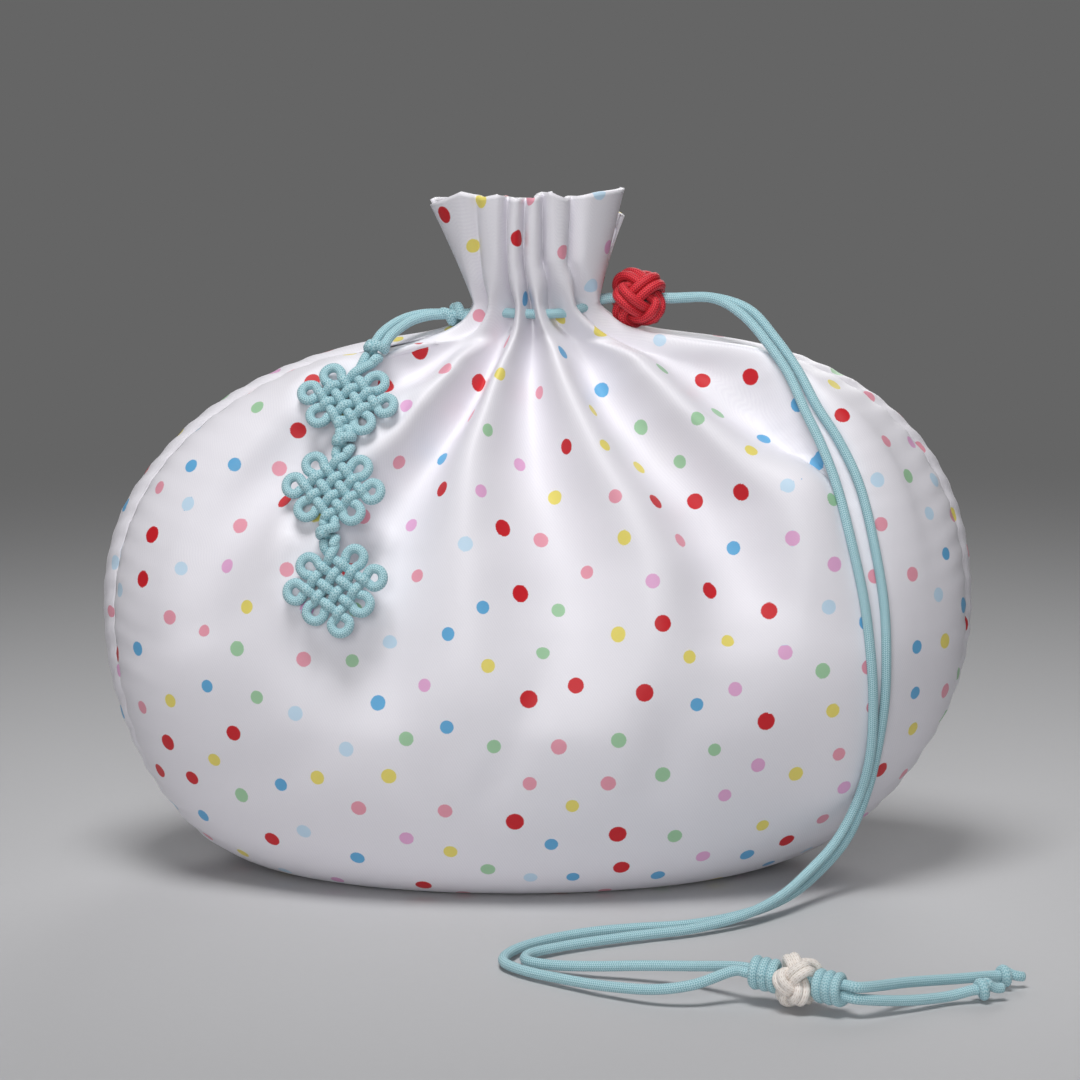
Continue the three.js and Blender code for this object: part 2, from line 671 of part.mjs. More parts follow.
// Stopper between the double knots of the tail
const STOPPER_REACH = 0.6;
const X_AXIS = new THREE.Vector3(1, 0, 0);
const stopperBall = singleBallKnot(STOPPER_DIAMETER, STOPPER_CORD_DIAMETER, STOPPER_REACH);
const stopper = addPiece('ivory_ball_knot', stopperBall, IVORY_CORD);
stopper.position.copy(STOPPER_CENTRE);
stopper.quaternion.setFromUnitVectors(X_AXIS, TAIL_AXIS);
const TAIL_TURNS = 3;
const tailKnot = () => doubleKnot(TAIL_KNOT_LENGTH, TAIL_KNOT_DIAMETER, TAIL_TURNS);
addKnot('tail_double_knot_upper', tailKnot(), upperTailKnot, TAIL_AXIS, BLUE_CORD);
addKnot('tail_double_knot_lower', tailKnot(), lowerTailKnot, TAIL_AXIS, BLUE_CORD);

// The two ends past the lower knot, each stopped by a small overhand knot with a cut tip
const END_KNOT_LENGTH = 4;
const END_KNOT_DIAMETER = 4.6;
const END_TIP_LENGTH = 2.6;
const END_TIP_RADIUS = 1.1 * CORD_RADIUS;
const END_FACE_SHARE = 0.6;
const END_CREST_SHARE = 0.4;
const END_GAP = 0.2;
const END_RISE = (CORD_DIAMETER + END_GAP) / 2;

function endKnot() {
  const r = END_KNOT_DIAMETER / 2;
  const half = END_KNOT_LENGTH / 2;
  const profile = [
    [0, -half],
    [END_FACE_SHARE * r, -half],
    [r, -END_CREST_SHARE * half],
    [r, END_CREST_SHARE * half],
    [END_FACE_SHARE * r, half],
    [CORD_RADIUS, half],
    [END_TIP_RADIUS, half + END_TIP_LENGTH],
    [0, half + END_TIP_LENGTH],
  ];
  return new THREE.LatheGeometry(profile.map(([x, y]) => new THREE.Vector2(x, y)), KNOT_SEGMENTS);
}

const ends = [
  {
    place: 'back',
    rise: END_RISE,
    route: [[74.6, -113.6, 4.6], [85, -106.6, 3.2]],
    knot: [95, -102.6, 2.6],
    aim: [0.94, 0.3, -0.1],
  },
  {
    place: 'front',
    rise: -END_RISE,
    route: [[73.4, -118.4, 2.2], [82.5, -113.4, 1.6]],
    knot: [89.6, -111.6, 2.5],
    aim: [0.96, 0.26, 0],
  },
];
for (const { place, rise, route, knot, aim } of ends) {
  const axis = new THREE.Vector3(...aim).normalize();
  const centre = new THREE.Vector3(...knot);
  const start = tailExit.clone().setZ(tailExit.z + rise);
  const lead = start.clone().addScaledVector(TAIL_AXIS, LEAD_IN);
  const finish = centre.clone().addScaledVector(axis, -END_KNOT_LENGTH / 2 - CLEARANCE);
  const points = [start, lead, ...vectors(route), finish];
  addPiece(`end_strand_${place}`, cord(points, CORD_RADIUS, CORD_STEP), BLUE_CORD);
  addKnot(`end_knot_${place}`, endKnot(), centre, axis, BLUE_CORD);
}

export default pouch;
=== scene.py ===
import math
import bpy
import numpy as np
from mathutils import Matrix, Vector


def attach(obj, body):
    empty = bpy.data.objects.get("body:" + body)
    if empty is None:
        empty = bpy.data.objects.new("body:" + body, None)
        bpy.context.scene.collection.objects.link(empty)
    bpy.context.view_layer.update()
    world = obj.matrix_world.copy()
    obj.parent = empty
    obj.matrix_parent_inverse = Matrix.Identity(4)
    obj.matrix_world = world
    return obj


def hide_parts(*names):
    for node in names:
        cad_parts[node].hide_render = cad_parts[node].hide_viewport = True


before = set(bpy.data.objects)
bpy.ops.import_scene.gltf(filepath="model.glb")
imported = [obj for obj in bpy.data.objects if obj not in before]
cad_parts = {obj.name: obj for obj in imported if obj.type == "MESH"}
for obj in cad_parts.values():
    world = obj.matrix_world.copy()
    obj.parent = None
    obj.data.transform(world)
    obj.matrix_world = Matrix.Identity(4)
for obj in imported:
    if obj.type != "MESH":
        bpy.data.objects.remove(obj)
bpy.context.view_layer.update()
scene = bpy.context.scene
scene.view_settings.view_transform = "Standard"
mm = 0.001
print("frame loaded:", len(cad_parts), "nodes")

# camera at the photograph's angle
cameraSetup = {"place": (0, -0.8, 0.209), "target": (0.00035, 0, 0.0755), "lens": 118.14, "sensor": 36,
               "clip": (0.05, 60)}


def makeCamera(setup):
    data = bpy.data.cameras.new("camera")
    data.lens = setup["lens"]
    data.sensor_width = setup["sensor"]
    data.clip_start, data.clip_end = setup["clip"]
    camera = bpy.data.objects.new("camera", data)
    scene.collection.objects.link(camera)
    camera.location = setup["place"]
    aim = Vector(setup["target"]) - Vector(setup["place"])
    camera.rotation_euler = aim.to_track_quat("-Z", "Y").to_euler()
    scene.camera = camera


makeCamera(cameraSetup)


# meshes

def makeObject(name, points, faces, uvName, uvs, material):
    # points in millimetres, uvs one row for each face corner
    mesh = bpy.data.meshes.new(name)
    mesh.from_pydata((np.asarray(points) * mm).tolist(), [], [f.tolist() for f in faces])
    layer = mesh.uv_layers.new(name=uvName)
    layer.data.foreach_set("uv", np.asarray(uvs, np.float32).ravel())
    mesh.polygons.foreach_set("use_smooth", np.ones(len(mesh.polygons), bool))
    mesh.materials.append(material)
    mesh.update()
    obj = bpy.data.objects.new(name, mesh)
    scene.collection.objects.link(obj)
    return obj


def unit(v):
    v = np.asarray(v, float)
    return v / np.maximum(np.linalg.norm(v, axis=-1, keepdims=True), 1e-12)


def smoothLine(points, closed=False, part=16):
    # smooth line through the points: on each piece a cubic whose end slopes come from the neighbours,
    # with the pieces timed by the square root of their lengths
    p = np.asarray(points, float)
    if closed:
        q = np.vstack([p[-1:], p, p[:2]])
    else:
        q = np.vstack([2 * p[:1] - p[1:2], p, 2 * p[-1:] - p[-2:-1]])
    a, b, c, d = q[:-3], q[1:-2], q[2:-1], q[3:]
    ta = np.linalg.norm(b - a, axis=1)[:, None] ** 0.5
    tb = np.linalg.norm(c - b, axis=1)[:, None] ** 0.5
    tc = np.linalg.norm(d - c, axis=1)[:, None] ** 0.5
    m1 = ((b - a) / ta - (c - a) / (ta + tb) + (c - b) / tb) * tb
    m2 = ((c - b) / tb - (d - b) / (tb + tc) + (d - c) / tc) * tb
    t = np.linspace(0, 1, part, endpoint=False)[None, :, None]
    b, c, m1, m2 = (x[:, None, :] for x in (b, c, m1, m2))
    line = b + m1 * t + (3 * (c - b) - 2 * m1 - m2) * t ** 2 + (2 * (b - c) + m1 + m2) * t ** 3
    line = line.reshape(-1, 3)
    return line if closed else np.vstack([line, p[-1:]])


def evenLine(line, step, closed=False):
    # the same line in even steps
    if closed:
        line = np.vstack([line, line[:1]])
    run = np.concatenate([[0], np.cumsum(np.linalg.norm(np.diff(line, axis=0), axis=1))])
    count = max(int(round(run[-1] / step)), 4)
    at = np.linspace(0, run[-1], count + 1)
    even = np.stack([np.interp(at, run, line[:, k]) for k in range(3)], 1)
    return (even[:-1] if closed else even), run[-1]


def sideFrames(line, closed):
    # two directions across the line at each station, turned back by the summed twist so that they don't spin
    ahead = np.roll(line, -1, 0) - np.roll(line, 1, 0)
    if not closed:
        ahead[0] = line[1] - line[0]
        ahead[-1] = line[-1] - line[-2]
    ahead = unit(ahead)
    spare = np.where(np.abs(ahead[:, 2:]) < 0.8, [[0.1, 0.2, 1.0]], [[1.0, 0.3, 0.1]])
    first = unit(np.cross(ahead, spare))
    second = np.cross(ahead, first)
    carried = first[:-1] - ahead[1:] * np.sum(first[:-1] * ahead[1:], 1, keepdims=True)
    twist = np.arctan2(np.sum(carried * second[1:], 1), np.sum(carried * first[1:], 1))
    total = np.concatenate([[0], np.cumsum(twist)])
    if closed:
        carried = first[-1] - ahead[0] * np.dot(first[-1], ahead[0])
        last = total[-1] + math.atan2(np.dot(carried, second[0]), np.dot(carried, first[0]))
        total = total - np.linspace(0, 1, len(line)) * (last - 2 * math.pi * round(last / (2 * math.pi)))
    turn = total[:, None]
    return first * np.cos(turn) + second * np.sin(turn), second * np.cos(turn) - first * np.sin(turn)


def tubeParts(line, radius, closed, sides):
    # a circle carried along the line, with rounded ends on an open one
    count = len(line)
    run = np.concatenate([[0], np.cumsum(np.linalg.norm(np.diff(line, axis=0), axis=1))])
    size = np.full(count, radius)
    if not closed:
        near = np.clip(np.minimum(run, run[-1] - run) / (0.6 * radius), 0, 1)
        size = radius * np.sqrt(np.clip(1 - (1 - near) ** 2, 0.12, 1))
    first, second = sideFrames(line, closed)
    angle = np.linspace(0, 2 * math.pi, sides, endpoint=False)[None, :, None]
    ring = first[:, None] * np.cos(angle) + second[:, None] * np.sin(angle)
    points = (line[:, None] + ring * size[:, None, None]).reshape(-1, 3)
    rows = count if closed else count - 1
    r, c = np.meshgrid(np.arange(rows), np.arange(sides), indexing="ij")
    after = (r + 1) % count
    beside = (c + 1) % sides
    quads = np.stack([r * sides + c, r * sides + beside, after * sides + beside, after * sides + c], -1).reshape(-1, 4)
    stepLength = run[-1] / max(count - 1, 1)
    u = np.stack([c, c + 1, c + 1, c], -1) / sides
    v = np.stack([r, r, r + 1, r + 1], -1) * stepLength * 0.1
    uvs = np.stack([u, v], -1).reshape(-1, 2)
    faces = list(quads)
    if not closed:
        faces += [np.arange(sides)[::-1], (count - 1) * sides + np.arange(sides)]
        uvs = np.vstack([uvs, np.tile([[0.5, 0]], (2 * sides, 1))])
    return points, faces, uvs


def makeCords(name, strands, material, sides, step):
    # strands: rows of (points, radius, closed), joined in one mesh
    allPoints, allFaces, allUvs, lines, offset = [], [], [], [], 0
    for points, radius, closed in strands:
        line, length = evenLine(smoothLine(points, closed), step, closed)
        p, f, uv = tubeParts(line, radius, closed, sides)
        allPoints.append(p)
        allFaces += [face + offset for face in f]
        allUvs.append(uv)
        lines.append((line, length))
        offset += len(p)
    obj = makeObject(name, np.vstack(allPoints), allFaces, "cordUv", np.vstack(allUvs), material)
    return obj, lines


# materials

def linear(hexColour):
    # sRGB hex to the linear values that the shader takes
    s = np.array([int(hexColour[k:k + 2], 16) for k in (0, 2, 4)]) / 255
    v = np.where(s <= 0.04045, s / 12.92, ((s + 0.055) / 1.055) ** 2.4)
    return (*v.tolist(), 1)


def addNode(tree, kind, **settings):
    node = tree.nodes.new(kind)
    for key, value in settings.items():
        setattr(node, key, value)
    return node


def feed(tree, socket, value):
    if isinstance(value, bpy.types.NodeSocket):
        tree.links.new(value, socket)
    else:
        socket.default_value = value


def calc(tree, operation, *values):
    node = addNode(tree, "ShaderNodeMath", operation=operation)
    for socket, value in zip(node.inputs, values):
        feed(tree, socket, value)
    return node.outputs[0]


def mixColour(tree, share, first, second):
    node = addNode(tree, "ShaderNodeMix", data_type="RGBA")
    feed(tree, node.inputs[0], share)
    feed(tree, node.inputs[6], first)
    feed(tree, node.inputs[7], second)
    return node.outputs[2]


def ramp(tree, value, stops, interpolation="LINEAR"):
    node = addNode(tree, "ShaderNodeValToRGB")
    node.color_ramp.interpolation = interpolation
    band = node.color_ramp.elements
    while len(band) < len(stops):
        band.new(1)
    for element, (place, colour) in zip(band, stops):
        element.position = place
        element.color = colour
    feed(tree, node.inputs[0], value)
    return node.outputs[0]


def newMaterial(name, settings):
    # principled surface with the plain numbers set on its own sockets
    material = bpy.data.materials.new(name)
    material.use_nodes = True
    tree = material.node_tree
    shader = tree.nodes["Principled BSDF"]
    for socket, value in settings.items():
        shader.inputs[socket].default_value = value
    return material, tree, shader


def bump(tree, shader, height, strength, distance):
    node = addNode(tree, "ShaderNodeBump")
    node.inputs["Strength"].default_value = strength
    node.inputs["Distance"].default_value = distance
    tree.links.new(height, node.inputs["Height"])
    tree.links.new(node.outputs[0], shader.inputs["Normal"])


def seenRays(tree):
    # 1 for the rays that show a surface in the picture, 0 for those that only light others
    path = addNode(tree, "ShaderNodeLightPath")
    seen = calc(tree, "MAXIMUM", path.outputs["Is Camera Ray"], path.outputs["Is Glossy Ray"])
    return calc(tree, "MAXIMUM", seen, path.outputs["Is Transmission Ray"])


def plaitGroup():
    # braided yarn: slanted stitches whose slant changes side from one row of stitches to the next
    group = bpy.data.node_groups.new("plait", "ShaderNodeTree")
    face = group.interface
    for label, start in (("Stitches", 20.0), ("Rows", 5.0), ("Slant", 1.4), ("Fuzz", 0.3)):
        socket = face.new_socket(label, in_out="INPUT", socket_type="NodeSocketFloat")
        socket.default_value = start
    face.new_socket("Height", in_out="OUTPUT", socket_type="NodeSocketFloat")
    inside = addNode(group, "NodeGroupInput").outputs
    outside = addNode(group, "NodeGroupOutput").inputs
    uv = addNode(group, "ShaderNodeUVMap", uv_map="cordUv").outputs[0]
    parts = addNode(group, "ShaderNodeSeparateXYZ")
    group.links.new(uv, parts.inputs[0])
    zigzag = calc(group, "PINGPONG", calc(group, "MULTIPLY", parts.outputs[0], inside["Rows"]), 0.5)
    phase = calc(group, "ADD", calc(group, "MULTIPLY", parts.outputs[1], inside["Stitches"]),
                 calc(group, "MULTIPLY", zigzag, inside["Slant"]))
    wave = calc(group, "SINE", calc(group, "MULTIPLY", phase, 2 * math.pi))
    stitch = calc(group, "MULTIPLY_ADD", wave, 0.5, 0.5)
    rib = calc(group, "SINE", calc(group, "MULTIPLY", zigzag, 2 * math.pi))
    place = addNode(group, "ShaderNodeTexCoord").outputs["Object"]
    noise = addNode(group, "ShaderNodeTexNoise")
    noise.inputs["Scale"].default_value = 2600
    noise.inputs["Detail"].default_value = 3
    group.links.new(place, noise.inputs["Vector"])
    fuzz = calc(group, "MULTIPLY", calc(group, "SUBTRACT", noise.outputs[0], 0.5), inside["Fuzz"])
    woven = calc(group, "MULTIPLY_ADD", rib, 0.45, calc(group, "MULTIPLY", stitch, 0.55))
    height = calc(group, "ADD", woven, fuzz)
    group.links.new(height, outside["Height"])
    return group


plait = plaitGroup()


def cordMaterial(name, settings):
    material, tree, shader = newMaterial(name, settings["surface"])
    weave = addNode(tree, "ShaderNodeGroup", node_tree=plait)
    for label in ("Stitches", "Rows", "Slant", "Fuzz"):
        weave.inputs[label].default_value = settings[label]
    # painted shade and highlight: the braid's grooves get the darker tone and its raised stitches the paler one, set by
    # the weave's height
    stops = [(0.15, "grooveShade"), (0.55, "body"), (0.95, "light")]
    colour = ramp(tree, weave.outputs["Height"], [(place, linear(settings[tone])) for place, tone in stops])
    tree.links.new(colour, shader.inputs["Base Color"])
    bump(tree, shader, weave.outputs["Height"], settings["bump"], 0.00018)
    return material


# cord colours: the body tone, with painted shade in the braid's grooves and a painted highlight on the raised stitches
blueCord = cordMaterial("blueCord", {
    "grooveShade": "78a9b4", "body": "a2cbd4", "light": "c6e3e8", "bump": 0.5,
    "Stitches": 21.0, "Rows": 7.0, "Slant": 1.2, "Fuzz": 0.4,
    "surface": {"Roughness": 0.82, "Specular IOR Level": 0.25, "Sheen Weight": 0.15, "Sheen Roughness": 0.5},
})
redCord = cordMaterial("redCord", {
    "grooveShade": "980816", "body": "d21428", "light": "ee4a55", "bump": 0.6,
    "Stitches": 22.0, "Rows": 6.0, "Slant": 1.6, "Fuzz": 0.2,
    "surface": {"Roughness": 0.55, "Specular IOR Level": 0.4, "Sheen Weight": 0.1, "Sheen Roughness": 0.4},
})
ivoryCord = cordMaterial("ivoryCord", {
    "grooveShade": "d3c5ba", "body": "f0e8e1", "light": "faf6f1", "bump": 0.45,
    "Stitches": 13.0, "Rows": 6.0, "Slant": 3.2, "Fuzz": 0.4,
    "surface": {"Roughness": 0.6, "Specular IOR Level": 0.35, "Sheen Weight": 0.3, "Sheen Roughness": 0.5},
})

# printed satin: dots from the panels' own attributes, and a fine slanted weave in the colour and the bump
satinLook = {
    "ground": "efedf2", "thread": "e4e1e9", "edge": 0.11, "cover": 0.99, "soak": 0.1, "soakScale": 26,
    "dots": ["ca0418", "e69aab", "e8d86c", "9fcaa2", "5faad9", "c3dcef", "e2a9d2"],
    "shares": [0, 0.19, 0.38, 0.54, 0.66, 0.8, 0.9],
    "weave": 32.0, "weaveSlope": 0.7, "twill": 0.16, "grain": 60, "bump": 0.1,
}


def satinMaterial(look):
    material, tree, shader = newMaterial("dottedSatin", {
        "Roughness": 0.48, "Specular IOR Level": 0.42, "Sheen Weight": 0.06, "Sheen Roughness": 0.4,
    })
    uv = addNode(tree, "ShaderNodeUVMap", uv_map="clothUv").outputs[0]
    offset = addNode(tree, "ShaderNodeVectorMath", operation="LENGTH")
    tree.links.new(addNode(tree, "ShaderNodeAttribute", attribute_name="dotOffset").outputs["Vector"], offset.inputs[0])
    chance = addNode(tree, "ShaderNodeAttribute", attribute_name="dotInk").outputs["Fac"]
    ink = ramp(tree, chance, [(p, linear(c)) for p, c in zip(look["shares"], look["dots"])], "CONSTANT")
    soak = addNode(tree, "ShaderNodeTexNoise", noise_dimensions="2D")
    tree.links.new(uv, soak.inputs["Vector"])
    soak.inputs["Scale"].default_value = look["soakScale"]
    ragged = calc(tree, "SUBTRACT", soak.outputs[0], 0.5)
    away = calc(tree, "MULTIPLY_ADD", ragged, look["soak"], offset.outputs["Value"])
    rim = addNode(tree, "ShaderNodeMapRange", interpolation_type="SMOOTHSTEP")
    tree.links.new(away, rim.inputs["Value"])
    rim.inputs["From Min"].default_value = 1 - look["edge"]
    rim.inputs["From Max"].default_value = 1
    rim.inputs["To Min"].default_value = look["cover"]
    rim.inputs["To Max"].default_value = 0
    # slanted weave: threads that cross at a shallow angle, broken by a little noise
    parts = addNode(tree, "ShaderNodeSeparateXYZ")
    tree.links.new(uv, parts.inputs[0])
    slant = calc(tree, "ADD", calc(tree, "MULTIPLY", parts.outputs[0], look["weave"]),
                 calc(tree, "MULTIPLY", parts.outputs[1], look["weave"] * look["weaveSlope"]))
    twill = calc(tree, "SINE", calc(tree, "MULTIPLY", slant, math.pi))
    grain = addNode(tree, "ShaderNodeTexNoise", noise_dimensions="2D")
    tree.links.new(uv, grain.inputs["Vector"])
    grain.inputs["Scale"].default_value = look["grain"]
    grain.inputs["Detail"].default_value = 4
    thread = calc(tree, "MULTIPLY_ADD", twill, look["twill"], grain.outputs[0])
    cloth = mixColour(tree, thread, linear(look["ground"]), linear(look["thread"]))
    tree.links.new(mixColour(tree, rim.outputs[0], cloth, ink), shader.inputs["Base Color"])
    bump(tree, shader, thread, look["bump"], 0.0001)
    return material


satin = satinMaterial(satinLook)
print("materials made")


# cords: routes in millimetres, the front strand and the back strand each run from the pendant to a cut end
cordSetup = {"radius": 1.1, "spacing": 1.3, "step": 0.5, "sides": 12}

neckRoute = np.array([
    [-16, -1.3, 127.4], [-13, -2, 127.8], [-10, -4.2, 128.2], [-6.5, -6.9, 128.3], [-3, -8.2, 128.3], [0, -8.6, 128.3],
    [3, -8.3, 128.3], [6.8, -6.9, 128.5], [10.2, -4.2, 129.3], [13, -2, 130.4], [16, -1.3, 131], [29.6, -1.3, 131],
    [39.6, -1.3, 131],
])
frontTail = np.array([
    [46, -4.8, 127.6], [51.5, -10, 121.6], [55.8, -14.5, 115.4], [59.1, -19.4, 108], [62.6, -23, 100.7],
    [65.8, -26.6, 92.2], [68.8, -30.6, 80.5], [71.6, -33.2, 67.7], [73.3, -34.3, 54.4], [74, -33.5, 43],
    [73.5, -31.6, 31], [71, -29.2, 20.8], [66.3, -31.5, 12.6], [59.3, -39, 7.2], [52.8, -47.5, 4.2], [44, -56.5, 2.4],
    [33, -63.5, 1.5], [23.8, -67.3, 1.4], [14.6, -71.5, 1.4], [4, -77.4, 1.4], [-2, -82.6, 1.4], [-2.6, -87, 1.4],
    [1.8, -90.6, 1.5], [10.6, -94.2, 2.2], [20.9, -97.2, 3.2], [31, -101.6, 4.4],
])
backTail = np.array([
    [47.6, -2.6, 128.6], [53.6, -7.9, 122.2], [58, -12.6, 116], [62, -17.6, 108.5], [66.6, -21, 101.4],
    [70.9, -24.5, 92.3], [74.2, -28.6, 78.9], [76.3, -31.1, 65.9], [76.8, -32.5, 55.5], [76.7, -32, 45],
    [75.6, -30.1, 34.5], [73.4, -27.7, 23], [69, -28.8, 12.6], [61.5, -35.2, 5.8], [54.5, -43.5, 3], [45, -52.5, 1.8],
    [33, -59.6, 1.4], [19.7, -62.8, 1.4], [11, -65.8, 1.4], [0.3, -73, 1.4], [-6, -81.2, 1.4], [-7.2, -88.2, 1.4],
    [-3.6, -94, 1.4], [3.8, -100.6, 1.6], [13.9, -108.5, 2.2], [23.8, -114, 3.2], [31, -114.8, 4.4],
])
tailAxis = unit([0.88, -0.46, -0.06])
tailAcross = unit(np.cross([0, 0, 1], tailAxis))
stopperCentre = np.array([51.7, -116.8, 5.8])
# the tail's knots: from the ball knot to a double knot's middle and on to its end, the straight lead into it,
# and how far the strands lie off the axis in a double knot and in the ball knot
tailSetup = {"knotApart": 6.85, "knotEnd": 3.9, "leadIn": 2.0, "inKnot": 0.9, "inBall": 0.6}
upperTailKnot = stopperCentre - tailAxis * tailSetup["knotApart"]
lowerTailKnot = stopperCentre + tailAxis * tailSetup["knotApart"]
pendantKnots = np.array([[-36.4, -13.4, 120.7], [-42.8, -26.6, 101.9], [-46, -36.2, 83.1]])
pendantWeaves = np.array([[-42.3, -20, 110.5], [-45, -31.4, 92.2], [-44.3, -40.2, 72.3]])
pendantAxes = unit([[-0.5, -0.55, -0.67], [-0.13, -0.52, -0.84], [0.03, -0.43, -0.9]])
pendantAcross = unit([0.8, -0.55, -0.14])
# the double knot that each woven knot hangs down to
nextKnots = [pendantKnots[1], pendantKnots[2], None]
neckKnotCentre = np.array([-18.8, 0, 127.4])
sliderCentre = np.array([22.7, 0, 131])
endKnots = {
    "back": {"rise": 1.2, "route": [[74.6, -113.6, 4.6], [85, -106.6, 3.2]],
             "knot": [95, -102.6, 2.6], "aim": [0.94, 0.3, -0.1]},
    "front": {"rise": -1.2, "route": [[73.4, -118.4, 2.2], [82.5, -113.4, 1.6]],
              "knot": [89.6, -111.6, 2.5], "aim": [0.96, 0.26, 0]},
}
shoulderRoutes = {
    "front": [[-29, -6.2, 126.2], [-25.2, -2.9, 127.2], [-21.7, -1.3, 127.4]],
    "back": [[-31, -3.8, 126.4], [-26.2, -0.2, 127.4], [-21.7, 1.3, 127.4]],
}


def strandRoute(place, side, tail):
    # pendant, neck knot, pleats, slider, tail, the three tail knots and the cut end
    atPendant = pendantKnots[0] + pendantAcross * side * cordSetup["spacing"]
    start = [atPendant - pendantAxes[0] * above for above in (1.2, 2.6, 4.6)]
    neck = neckRoute * [1, side, 1]
    entry = upperTailKnot - tailAxis * tailSetup["knotEnd"] + tailAcross * side * cordSetup["spacing"]
    leave = lowerTailKnot + tailAxis * tailSetup["knotEnd"]
    end = endKnots[place]
    up = np.array([0, 0, 1.0])
    over = up * np.sign(end["rise"])
    knots = [
        entry - tailAxis * tailSetup["leadIn"], entry, upperTailKnot + tailAcross * side * tailSetup["inKnot"],
        stopperCentre + (tailAcross * side + over) * tailSetup["inBall"], lowerTailKnot + over * tailSetup["inKnot"],
        leave + up * end["rise"], leave + tailAxis * tailSetup["leadIn"] + up * end["rise"],
    ]
    finish = np.array(end["knot"]) - unit(end["aim"]) * np.array([[2.3], [0.6]])
    return np.vstack([start, shoulderRoutes[place], neck, tail, knots, end["route"], finish])


frontStrand, frontLines = makeCords("frontStrand", [(strandRoute("front", 1, frontTail), cordSetup["radius"], False)],
                                    blueCord, cordSetup["sides"], cordSetup["step"])
backStrand, backLines = makeCords("backStrand", [(strandRoute("back", -1, backTail), cordSetup["radius"], False)],
                                  blueCord, cordSetup["sides"], cordSetup["step"])
print("strands: front %.0f mm, back %.0f mm" % (frontLines[0][1], backLines[0][1]))


# knots: sides and step length of their meshes, and the sizes of the double knots
knotMesh = {"double": (10, 0.4), "woven": (12, 0.4), "ball": (12, 0.4), "end": (10, 0.35)}
doubleKnots = {
    "neck": {"length": 5, "diameter": 5.6, "turns": 0.66, "radius": 1.15, "tilt": 0.3},
    "pendant": {"length": 4.8, "diameter": 5.6, "turns": 0.67, "radius": 1.1, "tilt": 0.35},
    "tail": {"length": 8, "diameter": 7.0, "turns": 1.5, "radius": 1.05, "tilt": 0.25},
}


def placed(points, centre, axis, spin):
    # local z to the axis, local x across it
    z = unit(axis)
    x = unit(np.cross(spin if abs(np.dot(unit(spin), z)) < 0.95 else (1, 0, 0), z))
    return np.asarray(centre) + np.asarray(points) @ np.stack([x, np.cross(z, x), z])


def doubleKnotStrands(setup):
    # each strand winds from its own end to the middle, turn beside turn, and the second one is the first turned over
    length, radius = setup["length"], setup["radius"]
    ring = setup["diameter"] / 2 - radius
    t = np.linspace(0, 1, 30)[:, None]
    angle = 2 * math.pi * setup["turns"] * t
    z = (radius - length / 2) * (1 - t) + setup["tilt"] * np.sin(angle)
    wound = np.hstack([ring * np.cos(angle), ring * np.sin(angle), z])
    start = [[radius * 0.9, -0.2, -length / 2 - 1.2], [radius * 1.2, -0.5, -length / 2 + 0.1]]
    last = wound[-1]
    finish = [[last[0] * 0.5, last[1] * 0.5, last[2] + 0.5], [0, 0, length * 0.25]]
    first = np.vstack([start, wound, finish])
    return [(first, radius, False), (first * [1, -1, -1], radius, False)]


def makeDoubleKnot(name, node, centre, axis, setup, spin):
    strands = [(placed(p, centre, axis, spin), r, c) for p, r, c in doubleKnotStrands(setup)]
    obj, _ = makeCords(name, strands, blueCord, *knotMesh["double"])
    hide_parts(node)
    return obj


weaveSetup = {
    "lines": 4, "pitch": 3.0, "radius": 1.08, "press": 0.2, "overhang": 1.2, "earLength": 3.6, "earWidth": 4.0,
    "outward": (-0.2, -0.87, 0.45), "knotHalf": 2.3, "gap": 0.2, "leadSpread": 1.1, "leadBack": 1.4, "leadIn": 0.6,
}


def weaveLines(setup):
    # four rows woven with four columns, each crossing over where the sum of its numbers is even
    count = setup["lines"]
    place = (np.arange(count) - (count - 1) / 2) * setup["pitch"]
    lift = setup["radius"] - setup["press"] / 2
    end = place[-1] + setup["overhang"]
    sign = np.where((np.arange(count)[:, None] + np.arange(count)[None]) % 2 == 0, lift, -lift)
    along = np.concatenate([[-end], place, [end]])
    rows, columns = [], []
    for k in range(count):
        across = np.full(count + 2, place[k])
        rows.append(np.stack([along, across, np.concatenate([[0], sign[k], [0]])], 1))
        columns.append(np.stack([across, along, np.concatenate([[0], -sign[:, k], [0]])], 1))
    return rows, columns


def earLoop(start, finish, setup):
    # loop that leaves the weave at one line end and comes back at the next
    middle = (start + finish) / 2
    sideways = unit(finish - start)
    out = np.array([middle[0], middle[1], 0])
    out = unit(out - sideways * np.dot(out, sideways))
    share = np.array([[-0.5, 0.36], [-0.38, 0.82], [0, 1], [0.38, 0.82], [0.5, 0.36]])
    return middle + share[:, :1] * sideways * setup["earWidth"] + share[:, 1:] * out * setup["earLength"]


def joinLines(lines, setup, closed=False):
    path = [lines[0]]
    for line in lines[1:]:
        path += [earLoop(path[-1][-1], line[0], setup), line]
    if closed:
        path.append(earLoop(path[-1][-1], path[0][0], setup))
    return np.vstack(path)


def knotFacing(centre, entry, leave, setup):
    # across, up and out of a woven knot that hangs from one double knot to the next
    upward = unit(entry - (centre if leave is None else leave))
    outward = np.array(setup["outward"])
    outward = unit(outward - upward * np.dot(outward, upward))
    return np.cross(upward, outward), upward, outward


